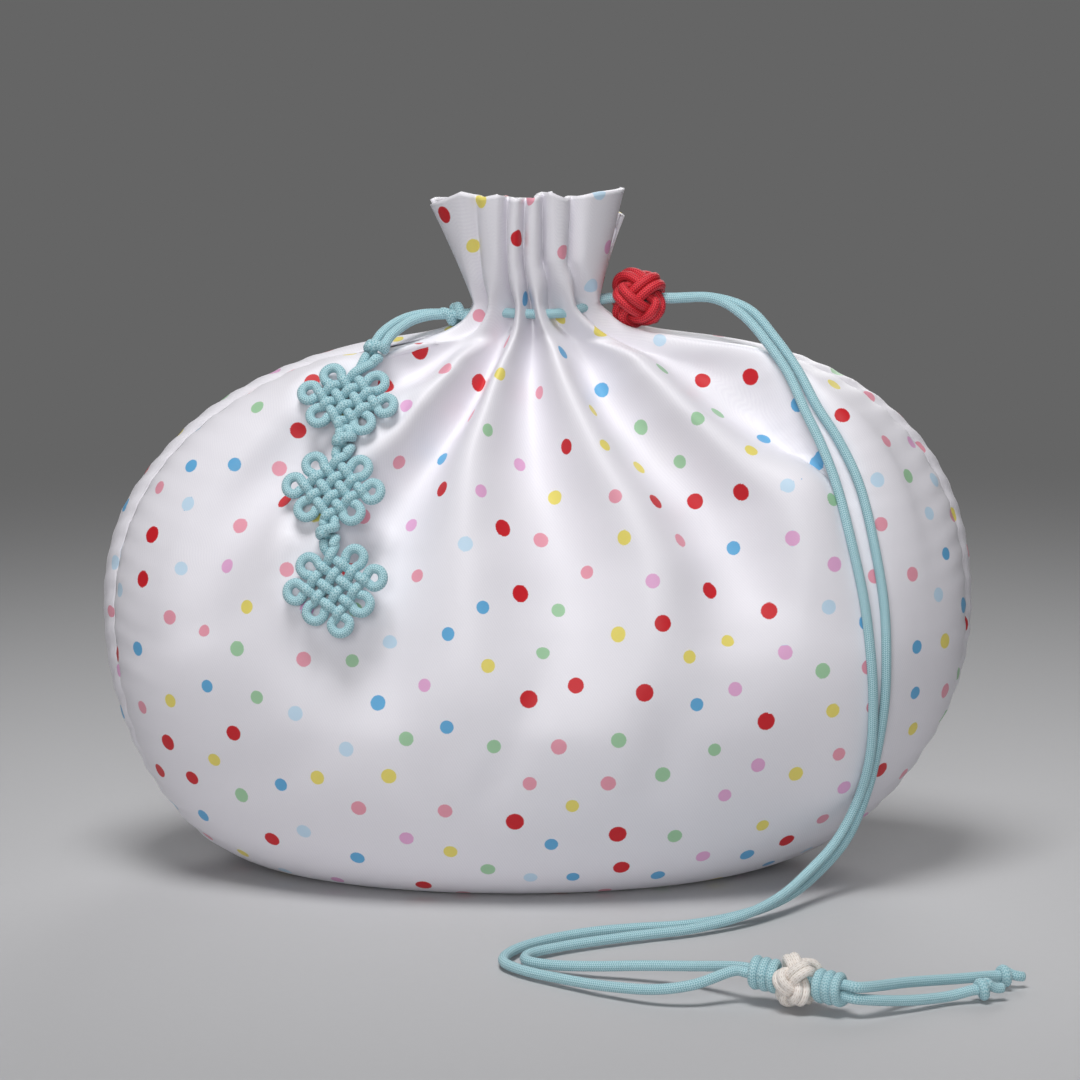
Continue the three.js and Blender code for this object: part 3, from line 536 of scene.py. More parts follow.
def makeWovenKnot(name, node, centre, entry, leave, setup):
    rows, columns = weaveLines(setup)
    across, upward, outward = knotFacing(centre, entry, leave, setup)
    basis = np.stack([across, upward, outward])
    turn = np.array([[1, -1, 0], [1, 1, 0], [0, 0, math.sqrt(2)]]) / math.sqrt(2)

    def toPlace(points):
        return centre + points @ turn @ basis

    def leadsAt(knot, side):
        away = unit(centre - knot)
        aside = across * side * setup["radius"] * setup["leadSpread"]
        near = knot + aside + away * (setup["knotHalf"] + setup["gap"])
        return np.stack([near - away * setup["leadBack"], near, near + away * setup["leadIn"]])

    def lead(side, lines, below):
        woven = toPlace(joinLines(lines, setup)[1:-1])
        endSide = side if leave is not None else -side
        return np.vstack([leadsAt(entry, side), woven, leadsAt(below, endSide)[::-1]])

    if leave is not None:
        outer = [lead(-1, [rows[3], columns[3][::-1]], leave), lead(1, [columns[0][::-1], rows[0]], leave)]
    else:
        outer = [lead(-1, [rows[3], columns[3][::-1], rows[0][::-1], columns[0]], entry)]
    inner = [toPlace(joinLines([rows[1], rows[2][::-1]], setup, True)),
             toPlace(joinLines([columns[1], columns[2][::-1]], setup, True))]
    strands = [(p, setup["radius"], False) for p in outer] + [(p, setup["radius"], True) for p in inner]
    obj, _ = makeCords(name, strands, blueCord, *knotMesh["woven"])
    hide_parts(node)
    return obj


# ball knots: two cords side by side on one line, apart from its middle by the given distance
redBallSetup = {"diameter": 14.4, "thickness": 2.0, "reach": 0.9, "apart": 1.08, "radius": 1.12}
ivoryBallSetup = {"diameter": 12.2, "thickness": 2.6, "reach": 0.68, "apart": 0.72, "radius": 0.98}


def turksHead(setup, offset):
    # a line of three leads and four bights round the x axis: the latitude swings four times in three turns,
    # and the distance from the centre swings twice as fast, so that each crossing goes over and under
    crossing = setup["thickness"] / math.sqrt(3)
    middle = setup["diameter"] / 2 - crossing - setup["thickness"] / 2
    turn = np.linspace(0, 2 * math.pi, 400, endpoint=False)[:, None]
    rise = setup["reach"] * np.cos(4 * turn)
    radius = middle + crossing * np.sin(8 * turn)
    line = np.hstack([np.sin(rise), np.cos(rise) * np.cos(3 * turn), np.cos(rise) * np.sin(3 * turn)]) * radius
    ahead = unit(np.roll(line, -1, 0) - np.roll(line, 1, 0))
    sideways = unit(np.cross(ahead, unit(line)))
    return line + sideways * offset


def makeBallKnot(name, node, centre, axis, setup, material):
    x = unit(axis)
    y = unit(np.cross([0, 0, 1], x))
    basis = np.stack([x, y, np.cross(x, y)])
    lines = [turksHead(setup, offset) for offset in (setup["apart"], -setup["apart"])]
    strands = [(centre + line[::5] @ basis, setup["radius"], True) for line in lines]
    obj, _ = makeCords(name, strands, material, *knotMesh["ball"])
    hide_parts(node)
    return obj


endKnotSetup = {"ring": 1.3, "turns": 1.25, "start": -0.9, "climb": 1.5, "radius": 1.05,
                "entry": [[0.2, 0, -2.2]], "tip": [[0, 0.5, 1.7], [0, 0, 3.0], [0.15, 0, 4.6]]}


def makeEndKnot(name, node, end, spin):
    # one tight turn round the strand and a short cut tip
    setup = endKnotSetup
    t = np.linspace(0, 1, 26)[:, None]
    angle = 2 * math.pi * setup["turns"] * t
    ring = setup["ring"]
    wound = np.hstack([ring * np.cos(angle), ring * np.sin(angle), setup["start"] + setup["climb"] * t])
    path = placed(np.vstack([setup["entry"], wound, setup["tip"]]), end["knot"], end["aim"], spin)
    obj, _ = makeCords(name, [(path, setup["radius"], False)], blueCord, *knotMesh["end"])
    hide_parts(node)
    return obj


knotPieces = [makeDoubleKnot("neckKnot", "neck_knot", neckKnotCentre, (-1, 0, 0), doubleKnots["neck"], (0, 0, 1))]
for k in range(3):
    knotPieces.append(makeDoubleKnot("pendantDoubleKnot%d" % (k + 1), "pendant_double_knot_%d" % (k + 1),
                                     pendantKnots[k], pendantAxes[k], doubleKnots["pendant"], (0, -1, 0.3)))
    knotPieces.append(makeWovenKnot("chrysanthemumKnot%d" % (k + 1), "chrysanthemum_knot_%d" % (k + 1),
                                    pendantWeaves[k], pendantKnots[k], nextKnots[k], weaveSetup))
tailKnots = [
    makeDoubleKnot("tailDoubleKnotUpper", "tail_double_knot_upper", upperTailKnot, tailAxis,
                   doubleKnots["tail"], (0, 0, 1)),
    makeDoubleKnot("tailDoubleKnotLower", "tail_double_knot_lower", lowerTailKnot, tailAxis,
                   doubleKnots["tail"], (0, 1, 0.4)),
]
ivoryBall = makeBallKnot("ivoryBallKnot", "ivory_ball_knot", stopperCentre, tailAxis, ivoryBallSetup, ivoryCord)
redBall = makeBallKnot("redBallKnot", "red_ball_knot", sliderCentre, (1, 0, 0), redBallSetup, redCord)
endFront = makeEndKnot("endKnotFront", "end_knot_front", endKnots["front"], (0, 0, 1))
endBack = makeEndKnot("endKnotBack", "end_knot_back", endKnots["back"], (0, 1, 0.5))
print("knots made")

for obj in knotPieces + tailKnots + [ivoryBall, endFront, endBack, frontStrand, backStrand]:
    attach(obj, "pouch")
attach(redBall, "slider")
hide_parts("front_strand", "pendant_strand_front", "end_strand_front")
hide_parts("back_strand", "pendant_strand_back", "end_strand_back")


# the pouch: two panels of one closed form, gathered in pleats at the neck
pouchForm = {
    "width": 200, "depth": 96, "widestHeight": 60, "deepestHeight": 46, "shoulderHeight": 124.3, "baseWidth": 100,
    "baseDepth": 56, "bottomSeamWidth": 92, "shoulderFullness": 2.25, "bellyFullness": 1.95, "frontSlope": 1.8,
    "lean": 5.5, "leanFade": 30, "waistWidth": 31, "waistDepth": 26, "neckDip": (2.4, 2.4), "neckDipReach": 0.09,
    "rimWidth": 44.6, "rimDepth": 28, "rimHeight": 155.5, "rimShift": 2.5, "rimFlare": 1.15, "backRimDrop": 2.6,
    "seamForward": (0.2, 0.14), "thickness": 0.5, "hem": 1.1, "hemRows": 5,
    "rows": (6, 60, 76, 38), "columns": 270, "rowEase": 1.2, "columnEase": 0.45,
}
# pleats: where the six crests lie across the half width at each level, and how deep the five hollows between them are
pleats = {
    "levels": [0, 0.15, 0.28, 0.4, 0.54, 0.67, 0.8, 0.9, 1.0, 1.12, 1.5, 2.0],
    "crests": [
        [-0.86, -0.84, -0.82, -0.79, -0.77, -0.75, -0.76, -0.81, -0.94, -0.95, -0.9, -0.72],
        [-0.64, -0.61, -0.54, -0.46, -0.4, -0.39, -0.45, -0.56, -0.76, -0.72, -0.48, -0.31],
        [-0.17, -0.17, -0.185, -0.2, -0.2, -0.215, -0.25, -0.27, -0.28, -0.25, -0.25, -0.11],
        [0.27, 0.26, 0.2, 0.13, 0.065, 0.01, -0.04, -0.03, 0.03, 0.02, -0.01, 0.07],
        [0.6, 0.6, 0.57, 0.48, 0.385, 0.33, 0.31, 0.45, 0.72, 0.6, 0.3, 0.26],
        [0.88, 0.87, 0.86, 0.85, 0.84, 0.85, 0.88, 0.93, 0.985, 0.985, 0.67, 0.67],
    ],
    "heights": [22, 40, 55, 70, 85, 100, 112, 120, 125, 130, 140, 155.5],
    "depths": [
        [0, 0, 0.2, 2.8, 4.4, 5.0, 5.6, 6.0, 6.0, 5.2, 3.6, 2.0],
        [0, 0.4, 4.0, 7.6, 9.2, 10.2, 10.2, 9.2, 8.0, 7.2, 6.6, 5.2],
        [0, 0.8, 4.8, 8.2, 9.6, 10.2, 9.8, 8.6, 7.6, 7.0, 6.4, 5.2],
        [0, 0, 1.4, 6.0, 9.4, 10.6, 10.4, 9.4, 8.2, 7.4, 6.6, 5.2],
        [0, 0, 0.2, 1.4, 4.4, 8.4, 9.2, 8.4, 7.2, 6.2, 5.4, 4.2],
    ],
    "bottom": [0.5, 0.55, 0.5, 0.45, 0.4],
    "rounding": [18, 18, 16, 13, 10, 7.5, 5.5, 4.2, 3.4, 2.6, 1.6, 1.2],
}
rimLine = {"share": [-1, -0.68, -0.46, -0.3, -0.15, 0.07, 0.22, 0.4, 0.73, 1],
           "rise": [-3.4, 0, -1.0, -0.3, -1.2, -1.0, 0.4, -1.2, 0, 0.3]}
# soft dents of slack cloth, drawn towards the neck
dents = {"seed": 11, "count": 30, "across": (-84, 84), "heights": (12, 104), "neckHeight": 128, "spread": 0.5,
         "depth": (0.2, 0.7), "length": (15, 32), "width": (4.2, 8)}
# slack cloth between the seams, from above the base to below the neck
slackSetup = {"sway": 0.28, "low": (8, 30), "high": (104, 122), "seam": 9}
# the bend at the waist is evened out between these levels
waistSetup = {"share": 0.5, "low": (0.7, 0.92), "high": (1.08, 1.2), "times": 110}
seamFold = {"heights": [10, 30, 62, 90, 110, 125, 140, 155.5], "depth": [0, 0.8, 1.2, 1.5, 1.6, 1.8, 1.4, 0.4],
            "width": [6, 7, 8, 8, 8, 5, 3.5, 3],
            "groove": 0.8, "grooveWidth": 1.8, "pucker": 0.3, "puckerLength": 6.5, "puckerReach": 9}


def smoothStep(x, low, high):
    t = np.clip((x - low) / (high - low), 0, 1)
    return t * t * (3 - 2 * t)


def outline(level, f):
    # half width, half depth, height and sideways shift of the closed form at a level:
    # -2 bottom seam, -1 edge of the base, 0 widest line, 1 waist, 2 rim
    turn = np.clip(np.abs(level), 0, 1) * math.pi / 2
    upper = level > 0
    power = np.where(upper, 2 / f["shoulderFullness"], 2 / f["bellyFullness"])
    ends = np.where(upper, f["waistWidth"], f["baseWidth"])
    climb = np.sin(turn) ** power
    halfWidth = (ends + (f["width"] - ends) * np.maximum(np.cos(turn), 0) ** power) / 2
    height = f["widestHeight"] + climb * np.where(upper, f["shoulderHeight"] - f["widestHeight"], -f["widestHeight"])
    height = np.maximum(height, 0)
    above = np.clip((height - f["deepestHeight"]) / (f["shoulderHeight"] - f["deepestHeight"]), 0, 1)
    below = np.clip(1 - height / f["deepestHeight"], 0, 1)
    sloping = f["waistDepth"] / 2 + (f["depth"] - f["waistDepth"]) / 2 * (1 - above ** f["frontSlope"])
    rounded = f["baseDepth"] / 2 + (f["depth"] - f["baseDepth"]) / 2 * np.sqrt(1 - below ** 2)
    halfDepth = np.where(height >= f["deepestHeight"], sloping, rounded)
    settle = np.minimum(1, (halfWidth - f["waistWidth"] / 2) / f["leanFade"])
    shift = np.sign(level) * f["lean"] * climb ** 2 * settle
    up = np.clip(level - 1, 0, 1)
    out = np.clip(level + 2, 0, 1)
    neck, base = level > 1, level < -1
    dip = (1 - np.exp(-(up / f["neckDipReach"]) ** 1.4)) * (1 - up)
    halfWidth = np.where(neck, (f["waistWidth"] + (f["rimWidth"] - f["waistWidth"]) * up ** f["rimFlare"]
                                - f["neckDip"][0] * dip) / 2, halfWidth)
    halfDepth = np.where(neck, (f["waistDepth"] + (f["rimDepth"] - f["waistDepth"]) * up
                                - f["neckDip"][1] * dip) / 2, halfDepth)
    height = np.where(neck, f["shoulderHeight"] + (f["rimHeight"] - f["shoulderHeight"]) * up, height)
    shift = np.where(neck, -f["rimShift"] * up, shift)
    halfWidth = np.where(base, (f["bottomSeamWidth"] + (f["baseWidth"] - f["bottomSeamWidth"]) * out) / 2, halfWidth)
    halfDepth = np.where(base, f["baseDepth"] / 2 * out, halfDepth)
    height = np.where(base, 0, height)
    shift = np.where(base, -f["lean"], shift)
    return halfWidth, halfDepth, height, shift


def pleatDepth(level, height, facing, halfWidth, halfDepth, back):
    # depth of each hollow from its two crests: below the waist it falls away from a crest like a hanging cloth,
    # steeply on the outer side of a crest, and above it the pleats are round tubes side by side
    order = -1 if back else 1
    crests = [order * np.interp(level, pleats["levels"], row) for row in pleats["crests"]][::order]
    rounding = np.interp(height, pleats["heights"], pleats["rounding"])
    ruff = smoothStep(level, 1.1, 1.4)
    fold = np.zeros_like(height)
    for k, row in enumerate(pleats["depths"][::order]):
        left, right = (np.arccos(-np.clip(c, -1, 1)) for c in crests[k:k + 2])
        middle = (left + right) / 2
        speed = np.sqrt((halfWidth * np.sin(middle)) ** 2 + (halfDepth * np.cos(middle)) ** 2)
        share = np.clip((facing - left) / np.maximum(right - left, 1e-3), 0, 1)
        bottom = pleats["bottom"][::order][k]
        bottom = (1 - bottom if back else bottom) * (1 - ruff) + 0.5 * ruff
        fromLeft = share < bottom
        near = np.where(fromLeft, share / bottom, (1 - share) / (1 - bottom))
        span = np.where(fromLeft, bottom, 1 - bottom) * (right - left) * speed
        soft = np.sqrt((near * span) ** 2 + rounding ** 2) - rounding
        soft = soft / np.maximum(np.sqrt(span ** 2 + rounding ** 2) - rounding, 1e-3)
        hanging = 1 - (1 - np.clip(soft, 0, 1)) ** 2.1
        tube = 1 - np.sqrt(np.maximum(1 - near ** 2.4, 0))
        shape = hanging * (1 - ruff) + tube * ruff
        fold = fold + np.interp(height, pleats["heights"], row) * shape * ((share > 0) & (share < 1))
    for _ in range(2):
        fold[:, 1:-1] = (fold[:, :-2] + 2 * fold[:, 1:-1] + fold[:, 2:]) / 4
        fold[1:-1] = (fold[:-2] + 2 * fold[1:-1] + fold[2:]) / 4
    return fold


def dentDepth(points, back):
    # long shallow hollows, each a rounded trough with its own middle, direction and depth
    chance = np.random.default_rng(dents["seed"] + back)
    depth = np.zeros(points.shape[:2])
    for _ in range(dents["count"]):
        x, z = chance.uniform(*dents["across"]), chance.uniform(*dents["heights"])
        turn = math.atan2(dents["neckHeight"] - z, -x) + chance.normal(0, dents["spread"])
        size, length, width = (chance.uniform(*dents[key]) for key in ("depth", "length", "width"))
        dx, dz = points[..., 0] - x, points[..., 2] - z
        along = dx * math.cos(turn) + dz * math.sin(turn)
        aside = dz * math.cos(turn) - dx * math.sin(turn)
        depth = depth + size * np.exp(-(along / length) ** 2 - (aside / width) ** 2)
    return depth


# what lies on the cloth: half thicknesses, the stretch of the tail that rests, and how far the cloth rises to it
seatSetup = {"knot": 2.75, "weave": 2.15, "cordGap": 0.05, "tailRight": 52, "tailFront": -40, "tailHeights": (26, 121),
             "reach": 10, "limit": 4, "times": 6}
# balls that press on the cloth, the woven knots' flat backs, and the neck where the cord goes through it
pressSetup = {"cord": 1.2, "slider": 7.35, "knot": 2.95, "weaveBack": 2.25, "weaveReach": 9, "weaveEdge": (12, 15),
              "lowest": 14, "neckHalf": 16, "neckHeight": 120, "limit": 4, "spread": 5, "times": 2}


def clothOutward(points):
    return unit(np.cross(np.gradient(points, axis=1), np.gradient(points, axis=0)))


def asBalls(points, radius):
    # rows of x, y, z and radius
    points = np.atleast_2d(points)
    return np.hstack([points, np.full((len(points), 1), radius)])


def restingPoints():
    # the pendant's knots and the tail down to the floor
    lines = np.vstack([line[::8] for line, _ in (frontLines[0], backLines[0])])
    low, high = seatSetup["tailHeights"]
    x, y, z = lines.T
    tails = lines[(x > seatSetup["tailRight"]) & (y > seatSetup["tailFront"]) & (z > low) & (z < high)]
    return np.vstack([asBalls(pendantKnots, seatSetup["knot"]), asBalls(pendantWeaves, seatSetup["weave"]),
                      asBalls(tails, cordSetup["radius"] + seatSetup["cordGap"])])


def seatCloth(points, rests):
    # the cloth comes up or goes down to what lies on it: each resting point's gap, spread over its surroundings
    outward = clothOutward(points).reshape(-1, 3)
    flat = points.reshape(-1, 3)
    away = np.linalg.norm(flat[:, None] - rests[None, :, :3], axis=2)
    near = np.argmin(away, axis=0)
    gap = np.sum((rests[:, :3] - flat[near]) * outward[near], 1) - rests[:, 3]
    weight = np.exp(-((away - rests[:, 3]) / seatSetup["reach"]) ** 2)
    limited = np.clip(gap, -seatSetup["limit"], seatSetup["limit"])
    move = weight @ limited / np.maximum(weight.sum(1), 1e-6) * weight.max(1)
    print("cloth seated: gaps %.1f to %.1f mm" % (gap.min(), gap.max()))
    return (flat + outward * move[:, None]).reshape(points.shape)


def pressCloth(points):
    # the cloth gives way to what lies on it: under each woven knot's flat back, and round the cords and round knots,
    # each taken as a row of balls
    press = pressSetup
    flat = points.reshape(-1, 3)
    lines = np.vstack([line[::2] for line, _ in (frontLines[0], backLines[0])])
    x, _, z = lines.T
    lines = lines[(z > press["lowest"]) & ((np.abs(x) > press["neckHalf"]) | (z < press["neckHeight"]))]
    balls = np.vstack([asBalls(lines, press["cord"]), asBalls(sliderCentre, press["slider"]),
                       asBalls(neckKnotCentre, press["knot"]), asBalls(pendantKnots, press["knot"])])
    squares = np.sum(flat ** 2, 1)[:, None] + np.sum(balls[:, :3] ** 2, 1)[None] - 2 * flat @ balls[:, :3].T
    sunk = np.maximum(np.max(balls[:, 3] - np.sqrt(np.maximum(squares, 0)), axis=1), 0)
    for centre, entry, leave in zip(pendantWeaves, pendantKnots, nextKnots):
        _, _, out = knotFacing(centre, entry, leave, weaveSetup)
        offset = flat - centre
        rise = offset @ out
        aside = np.linalg.norm(offset - rise[:, None] * out, axis=1)
        over = np.maximum(rise + press["weaveBack"], 0) * (np.abs(rise) < press["weaveReach"])
        sunk = np.maximum(sunk, over * (1 - smoothStep(aside, *press["weaveEdge"])))
    move = np.minimum(sunk, press["limit"]).reshape(points.shape[:2])
    for _ in range(press["spread"]):
        around = np.roll(move, 1, 0) + np.roll(move, -1, 0) + np.roll(move, 1, 1) + np.roll(move, -1, 1)
        move[1:-1, 1:-1] = np.maximum(move, around / 4)[1:-1, 1:-1]
    return points - clothOutward(points) * move[..., None]


def panelGrid(back, f):
    base, belly, shoulder, neck = f["rows"]
    level = np.concatenate([
        np.linspace(-2, -1, base, endpoint=False), np.linspace(-1, 0, belly, endpoint=False),
        1 - (1 - np.linspace(0, 1, shoulder, endpoint=False)) ** f["rowEase"], np.linspace(1, 2, neck),
    ])[:, None]
    t = np.linspace(0, 1, f["columns"])[None, :]
    t = t + f["columnEase"] * np.sin(2 * math.pi * t) / (2 * math.pi)
    forward = np.cos(np.clip(level, -1, 1) * math.pi / 2) ** 0.7
    left, right = (s * forward for s in f["seamForward"])
    if back:
        angle = math.pi - right + (math.pi + left + right) * t
        facing = 2 * math.pi - angle
    else:
        angle = left + (math.pi - left - right) * t
        facing = angle
    halfWidth, halfDepth, height, shift = (x + 0 * t for x in outline(level, f))
    points = np.stack([shift - halfWidth * np.cos(angle), -halfDepth * np.sin(angle), height], -1)
    across = np.stack([halfWidth * np.sin(angle), -halfDepth * np.cos(angle), 0 * height], -1)
    along = np.gradient(points, axis=0)
    outward = np.cross(across, along)
    outward[..., 2] *= 1 - smoothStep(level, 0.6, 1.04)
    outward = unit(outward)
    fold = pleatDepth(level, height, facing, halfWidth, halfDepth, back)
    # the seam sinks in beside the neck and has a groove with small puckers below
    speed = np.linalg.norm(np.gradient(points, axis=1), axis=2)
    run = np.cumsum(speed, axis=1) - speed[:, :1]
    fromSeam = np.minimum(run, run[:, -1:] - run)
    seam = np.interp(height, seamFold["heights"], seamFold["depth"])
    seamWidth = np.interp(height, seamFold["heights"], seamFold["width"])
    fold = np.maximum(fold, seam * np.exp(-(fromSeam / seamWidth) ** 1.6))
    onBody = smoothStep(level, -1, -0.9) * (1 - smoothStep(height, 118, 125))
    fold = fold + seamFold["groove"] * onBody * np.exp(-(fromSeam / seamFold["grooveWidth"]) ** 1.5)
    climbRun = np.cumsum(np.linalg.norm(np.gradient(points, axis=0), axis=2), axis=0)
    ripple = np.sin(2 * math.pi * climbRun / seamFold["puckerLength"] + 1.3 * np.sin(climbRun / 17))
    fold = fold + seamFold["pucker"] * onBody * ripple * np.exp(-fromSeam / seamFold["puckerReach"]) * (fromSeam > 0)
    # slow undulation of slack cloth: waves across and up, and shorter slanting ones
    x, z = points[..., 0], points[..., 2]
    sway = np.sin(x / 21 + 0.7) * np.sin(z / 17 + 0.4) + 0.6 * np.sin(x / 9.5 + z / 13)
    slack = smoothStep(height, *slackSetup["low"]) * (1 - smoothStep(height, *slackSetup["high"]))
    slack = slack * (1 - np.exp(-(fromSeam / slackSetup["seam"]) ** 2))
    fold = fold + (slackSetup["sway"] * sway + dentDepth(points, back)) * slack
    points = points - outward * (fold * smoothStep(level, -1, -0.93))[..., None]
    share = -np.cos(facing) * (-1 if back else 1)
    rise = np.interp(share, rimLine["share"], rimLine["rise"]) - (f["backRimDrop"] if back else 0)
    points[..., 2] = points[..., 2] + rise * np.clip(level - 1, 0, 1) ** 1.5
    # soften the bend at the waist
    atWaist = smoothStep(level, *waistSetup["low"]) * (1 - smoothStep(level, *waistSetup["high"]))
    soften = waistSetup["share"] * atWaist[..., None][1:-1]
    for _ in range(waistSetup["times"]):
        points[1:-1] = points[1:-1] + soften * ((points[:-2] + points[2:]) / 2 - points[1:-1])
    if not back:
        for _ in range(seatSetup["times"]):
            points = seatCloth(points, restingPoints())
    for _ in range(pressSetup["times"]):
        points = pressCloth(points)
    return points, level


def flatPlaces(points, level, start):
    # places on the flat cloth in centimetres: along the rows from the middle, and up the columns
    # with what the rows don't use
    across = np.linalg.norm(np.diff(points, axis=1), axis=2)
    u = np.concatenate([np.zeros((len(points), 1)), np.cumsum(across, axis=1)], 1)
    middle = points.shape[1] // 2
    u = u - u[:, middle:middle + 1]
    ruff = smoothStep(level, 0.95, 1.05)
    u = u * (1 - ruff) + u[np.argmin(np.abs(level - 1.05))] * ruff
    up = np.linalg.norm(np.diff(points, axis=0), axis=2)
    rest = np.sqrt(np.maximum(up ** 2 - np.diff(u, axis=0) ** 2, (0.6 * up) ** 2))
    v = np.concatenate([np.zeros((1, points.shape[1])), np.cumsum(rest, axis=0)], 0)
    widest = int(np.argmin(np.abs(level[:, 0])))
    v = v - v[widest:widest + 1]
    return np.stack([u, v], -1) * 0.1 + start


# printed dots: spacing and radius in millimetres, the first share of the inks is the larger red dot
dotPrint = {"seed": 5, "tries": 9000, "spacing": 9.2, "radius": 1.68, "spread": 0.16, "redExtra": 0.3,
            "zone": 3.3, "rows": 14, "columns": 30}


def printDots(points, back):
    # dots thrown on the cloth no closer than the spacing; near a dot each point gets its offset from the dot's centre
    # along the cloth in dot radii, and the dot's ink, and elsewhere an offset well off the cloth
    look = dotPrint
    chance = np.random.default_rng(look["seed"] + back)
    rows, columns = points.shape[:2]
    side = np.linalg.norm(np.gradient(points, axis=1), axis=2)
    rise = np.linalg.norm(np.gradient(points, axis=0), axis=2)
    u, v = np.cumsum(side, axis=1), np.cumsum(rise, axis=0)
    lean = np.sum(np.gradient(points, axis=1) * np.gradient(points, axis=0), 2) / np.maximum(side * rise, 1e-9)
    share = np.cumsum((side * rise).ravel())
    picks = np.searchsorted(share, chance.uniform(0, share[-1], look["tries"]))
    flat = points.reshape(-1, 3)
    centres = np.full((1, 3), 1e6)
    offset = np.zeros((rows, columns, 3))
    offset[..., 2] = 5
    ink = np.zeros((rows, columns))
    for pick in picks:
        if np.min(np.sum((centres - flat[pick]) ** 2, 1)) < look["spacing"] ** 2:
            continue
        centres = np.vstack([centres, flat[pick]])
        r, c = divmod(int(pick), columns)
        colour = chance.uniform()
        radius = look["radius"] + chance.uniform(-1, 1) * look["spread"]
        if colour < satinLook["shares"][1]:
            radius = radius + look["redExtra"]
        down, left = max(r - look["rows"], 0), max(c - look["columns"], 0)
        window = (slice(down, r + look["rows"]), slice(left, c + look["columns"]))
        du = (u[r, window[1]] - u[r, c])[None, :]
        dv = (v[window[0], c] - v[r, c])[:, None]
        place = np.stack([du + lean[r, c] * dv, 0 * du + dv * math.sqrt(1 - lean[r, c] ** 2), 0 * du * dv], -1)
        inside = np.linalg.norm(place, axis=2) < look["zone"]
        offset[window] = np.where(inside[..., None], place / radius, offset[window])
        ink[window] = np.where(inside, colour, ink[window])
    return offset, ink


def makePanel(name, node, back, start):
    points, level = panelGrid(back, pouchForm)
    rows, columns = points.shape[:2]
    r, c = np.meshgrid(np.arange(rows - 1), np.arange(columns - 1), indexing="ij")
    corners = [(r, c), (r, c + 1), (r + 1, c + 1), (r + 1, c)]
    quads = np.stack([a * columns + b for a, b in corners], -1).reshape(-1, 4)
    flat = flatPlaces(points, level, start)
    uvs = np.stack([flat[a, b] for a, b in corners], 2).reshape(-1, 2)
    obj = makeObject(name, points.reshape(-1, 3), quads, "clothUv", uvs, satin)
    offset, ink = printDots(points, back)
    for label, kind, key, values in (
            ("dotOffset", "FLOAT_VECTOR", "vector", offset), ("dotInk", "FLOAT", "value", ink)):
        layer = obj.data.attributes.new(label, kind, "POINT")
        layer.data.foreach_set(key, values.astype(np.float32).ravel())
    wall = obj.modifiers.new("cloth", "SOLIDIFY")
    wall.thickness = pouchForm["hem"] * mm
    wall.offset = -1
    hem = obj.vertex_groups.new(name="hem")
    single = pouchForm["thickness"] / pouchForm["hem"]
    below = (rows - pouchForm["hemRows"]) * columns
    hem.add(np.arange(below).tolist(), single, "REPLACE")
    hem.add(np.arange(below, rows * columns).tolist(), 1.0, "REPLACE")
    wall.vertex_group = "hem"
    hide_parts(node)
    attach(obj, "pouch")
    size = flat.reshape(-1, 2).max(0) - flat.reshape(-1, 2).min(0)
    print("%s: flat %.0f by %.0f mm" % (name, size[0] * 10, size[1] * 10))
    return obj


frontPanel = makePanel("frontPanel", "front_panel", False, np.array([40.3, 40.6]))
backPanel = makePanel("backPanel", "back_panel", True, np.array([90.1, 40.2]))

# pale floor, painted darker further from the pouch as a painted falloff of the light, out to the backdrop's even grey
stageSetup = {"floor": "c2c2c4", "half": 30, "drop": 0.0002, "paintedFalloff": (0.08, 0.7), "far": "656565"}


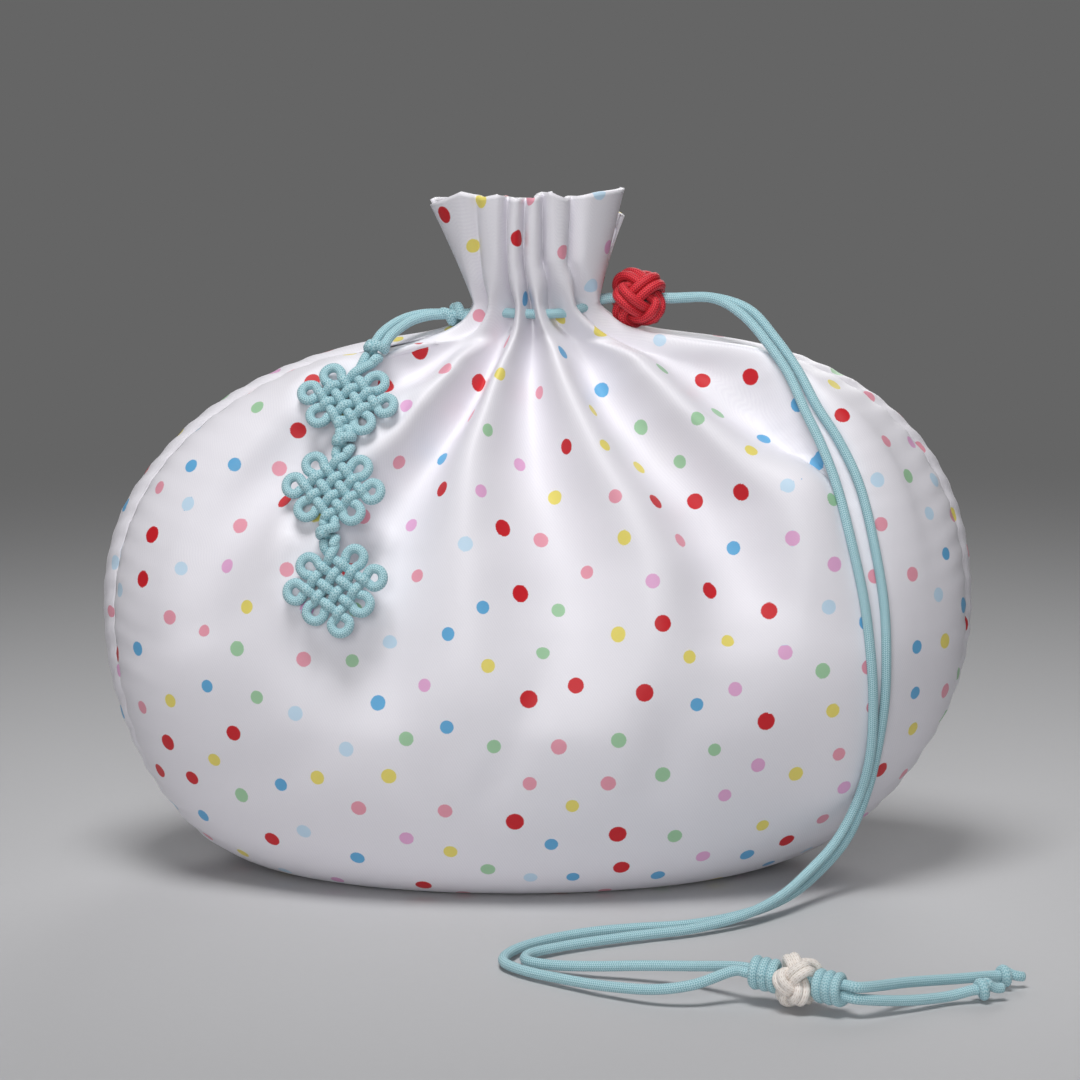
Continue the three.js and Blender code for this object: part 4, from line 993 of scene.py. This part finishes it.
def makeStage(setup):
    material, tree, shader = newMaterial("paleFloor", {"Roughness": 0.75, "Specular IOR Level": 0.2})
    where = addNode(tree, "ShaderNodeTexCoord").outputs["Object"]
    grain = addNode(tree, "ShaderNodeTexNoise")
    tree.links.new(where, grain.inputs["Vector"])
    grain.inputs["Scale"].default_value = 400
    tone = linear(setup["floor"])
    shade = tuple(0.98 * v for v in tone[:3]) + (1,)
    tree.links.new(mixColour(tree, grain.outputs[0], tone, shade), shader.inputs["Base Color"])
    # further away the camera sees painted shade: the floor darkens with distance into the backdrop's grey, which the
    # floor emits for camera and glossy rays
    place = addNode(tree, "ShaderNodeSeparateXYZ")
    tree.links.new(where, place.inputs[0])
    x, y = place.outputs[0], place.outputs[1]
    squares = calc(tree, "MULTIPLY_ADD", x, x, calc(tree, "MULTIPLY", y, y))
    away = addNode(tree, "ShaderNodeMapRange", interpolation_type="SMOOTHSTEP")
    tree.links.new(calc(tree, "SQRT", squares), away.inputs["Value"])
    away.inputs["From Min"].default_value, away.inputs["From Max"].default_value = setup["paintedFalloff"]
    backdrop = addNode(tree, "ShaderNodeEmission")
    backdrop.inputs["Color"].default_value = linear(setup["far"])
    mix = addNode(tree, "ShaderNodeMixShader")
    feed(tree, mix.inputs[0], calc(tree, "MULTIPLY", away.outputs[0], seenRays(tree)))
    feed(tree, mix.inputs[1], shader.outputs[0])
    feed(tree, mix.inputs[2], backdrop.outputs[0])
    tree.links.new(mix.outputs[0], tree.nodes["Material Output"].inputs["Surface"])
    h = setup["half"]
    mesh = bpy.data.meshes.new("floor")
    z = -setup["drop"]
    mesh.from_pydata([(-h, -h, z), (h, -h, z), (h, h, z), (-h, h, z)], [], [(0, 1, 2, 3)])
    mesh.materials.append(material)
    floor = bpy.data.objects.new("floor", mesh)
    scene.collection.objects.link(floor)


makeStage(stageSetup)

# soft box overhead, weak fills from the front and the back, and an even world
lights = [
    {"name": "softBox", "place": (-0.08, -0.27, 0.92), "target": (0, 0, 0.03),
     "size": 0.36, "power": 2.15, "spread": 110},
    {"name": "frontFill", "place": (-0.15, -1.5, 0.5), "target": (0, 0, 0.07),
     "size": 0.8, "power": 1.25, "spread": 60},
    {"name": "backFill", "place": (0.3, 1.3, 0.7), "target": (0, 0, 0.07),
     "size": 0.8, "power": 0.9, "spread": 60},
]
worldSetup = {"light": 0.06, "seen": "656565"}


def makeLights(rows, world):
    for row in rows:
        data = bpy.data.lights.new(row["name"], "AREA")
        data.size = row["size"]
        data.energy = row["power"]
        data.spread = math.radians(row["spread"])
        lamp = bpy.data.objects.new(row["name"], data)
        scene.collection.objects.link(lamp)
        lamp.location = row["place"]
        aim = Vector(row["target"]) - Vector(row["place"])
        lamp.rotation_euler = aim.to_track_quat("-Z", "Y").to_euler()
    sky = bpy.data.worlds.new("studio")
    sky.use_nodes = True
    scene.world = sky
    tree = sky.node_tree
    ground = tree.nodes["Background"]
    ground.inputs["Strength"].default_value = 1
    lit = (world["light"],) * 3 + (1,)
    tree.links.new(mixColour(tree, seenRays(tree), lit, linear(world["seen"])), ground.inputs["Color"])


makeLights(lights, worldSetup)
print("stage and lights made")
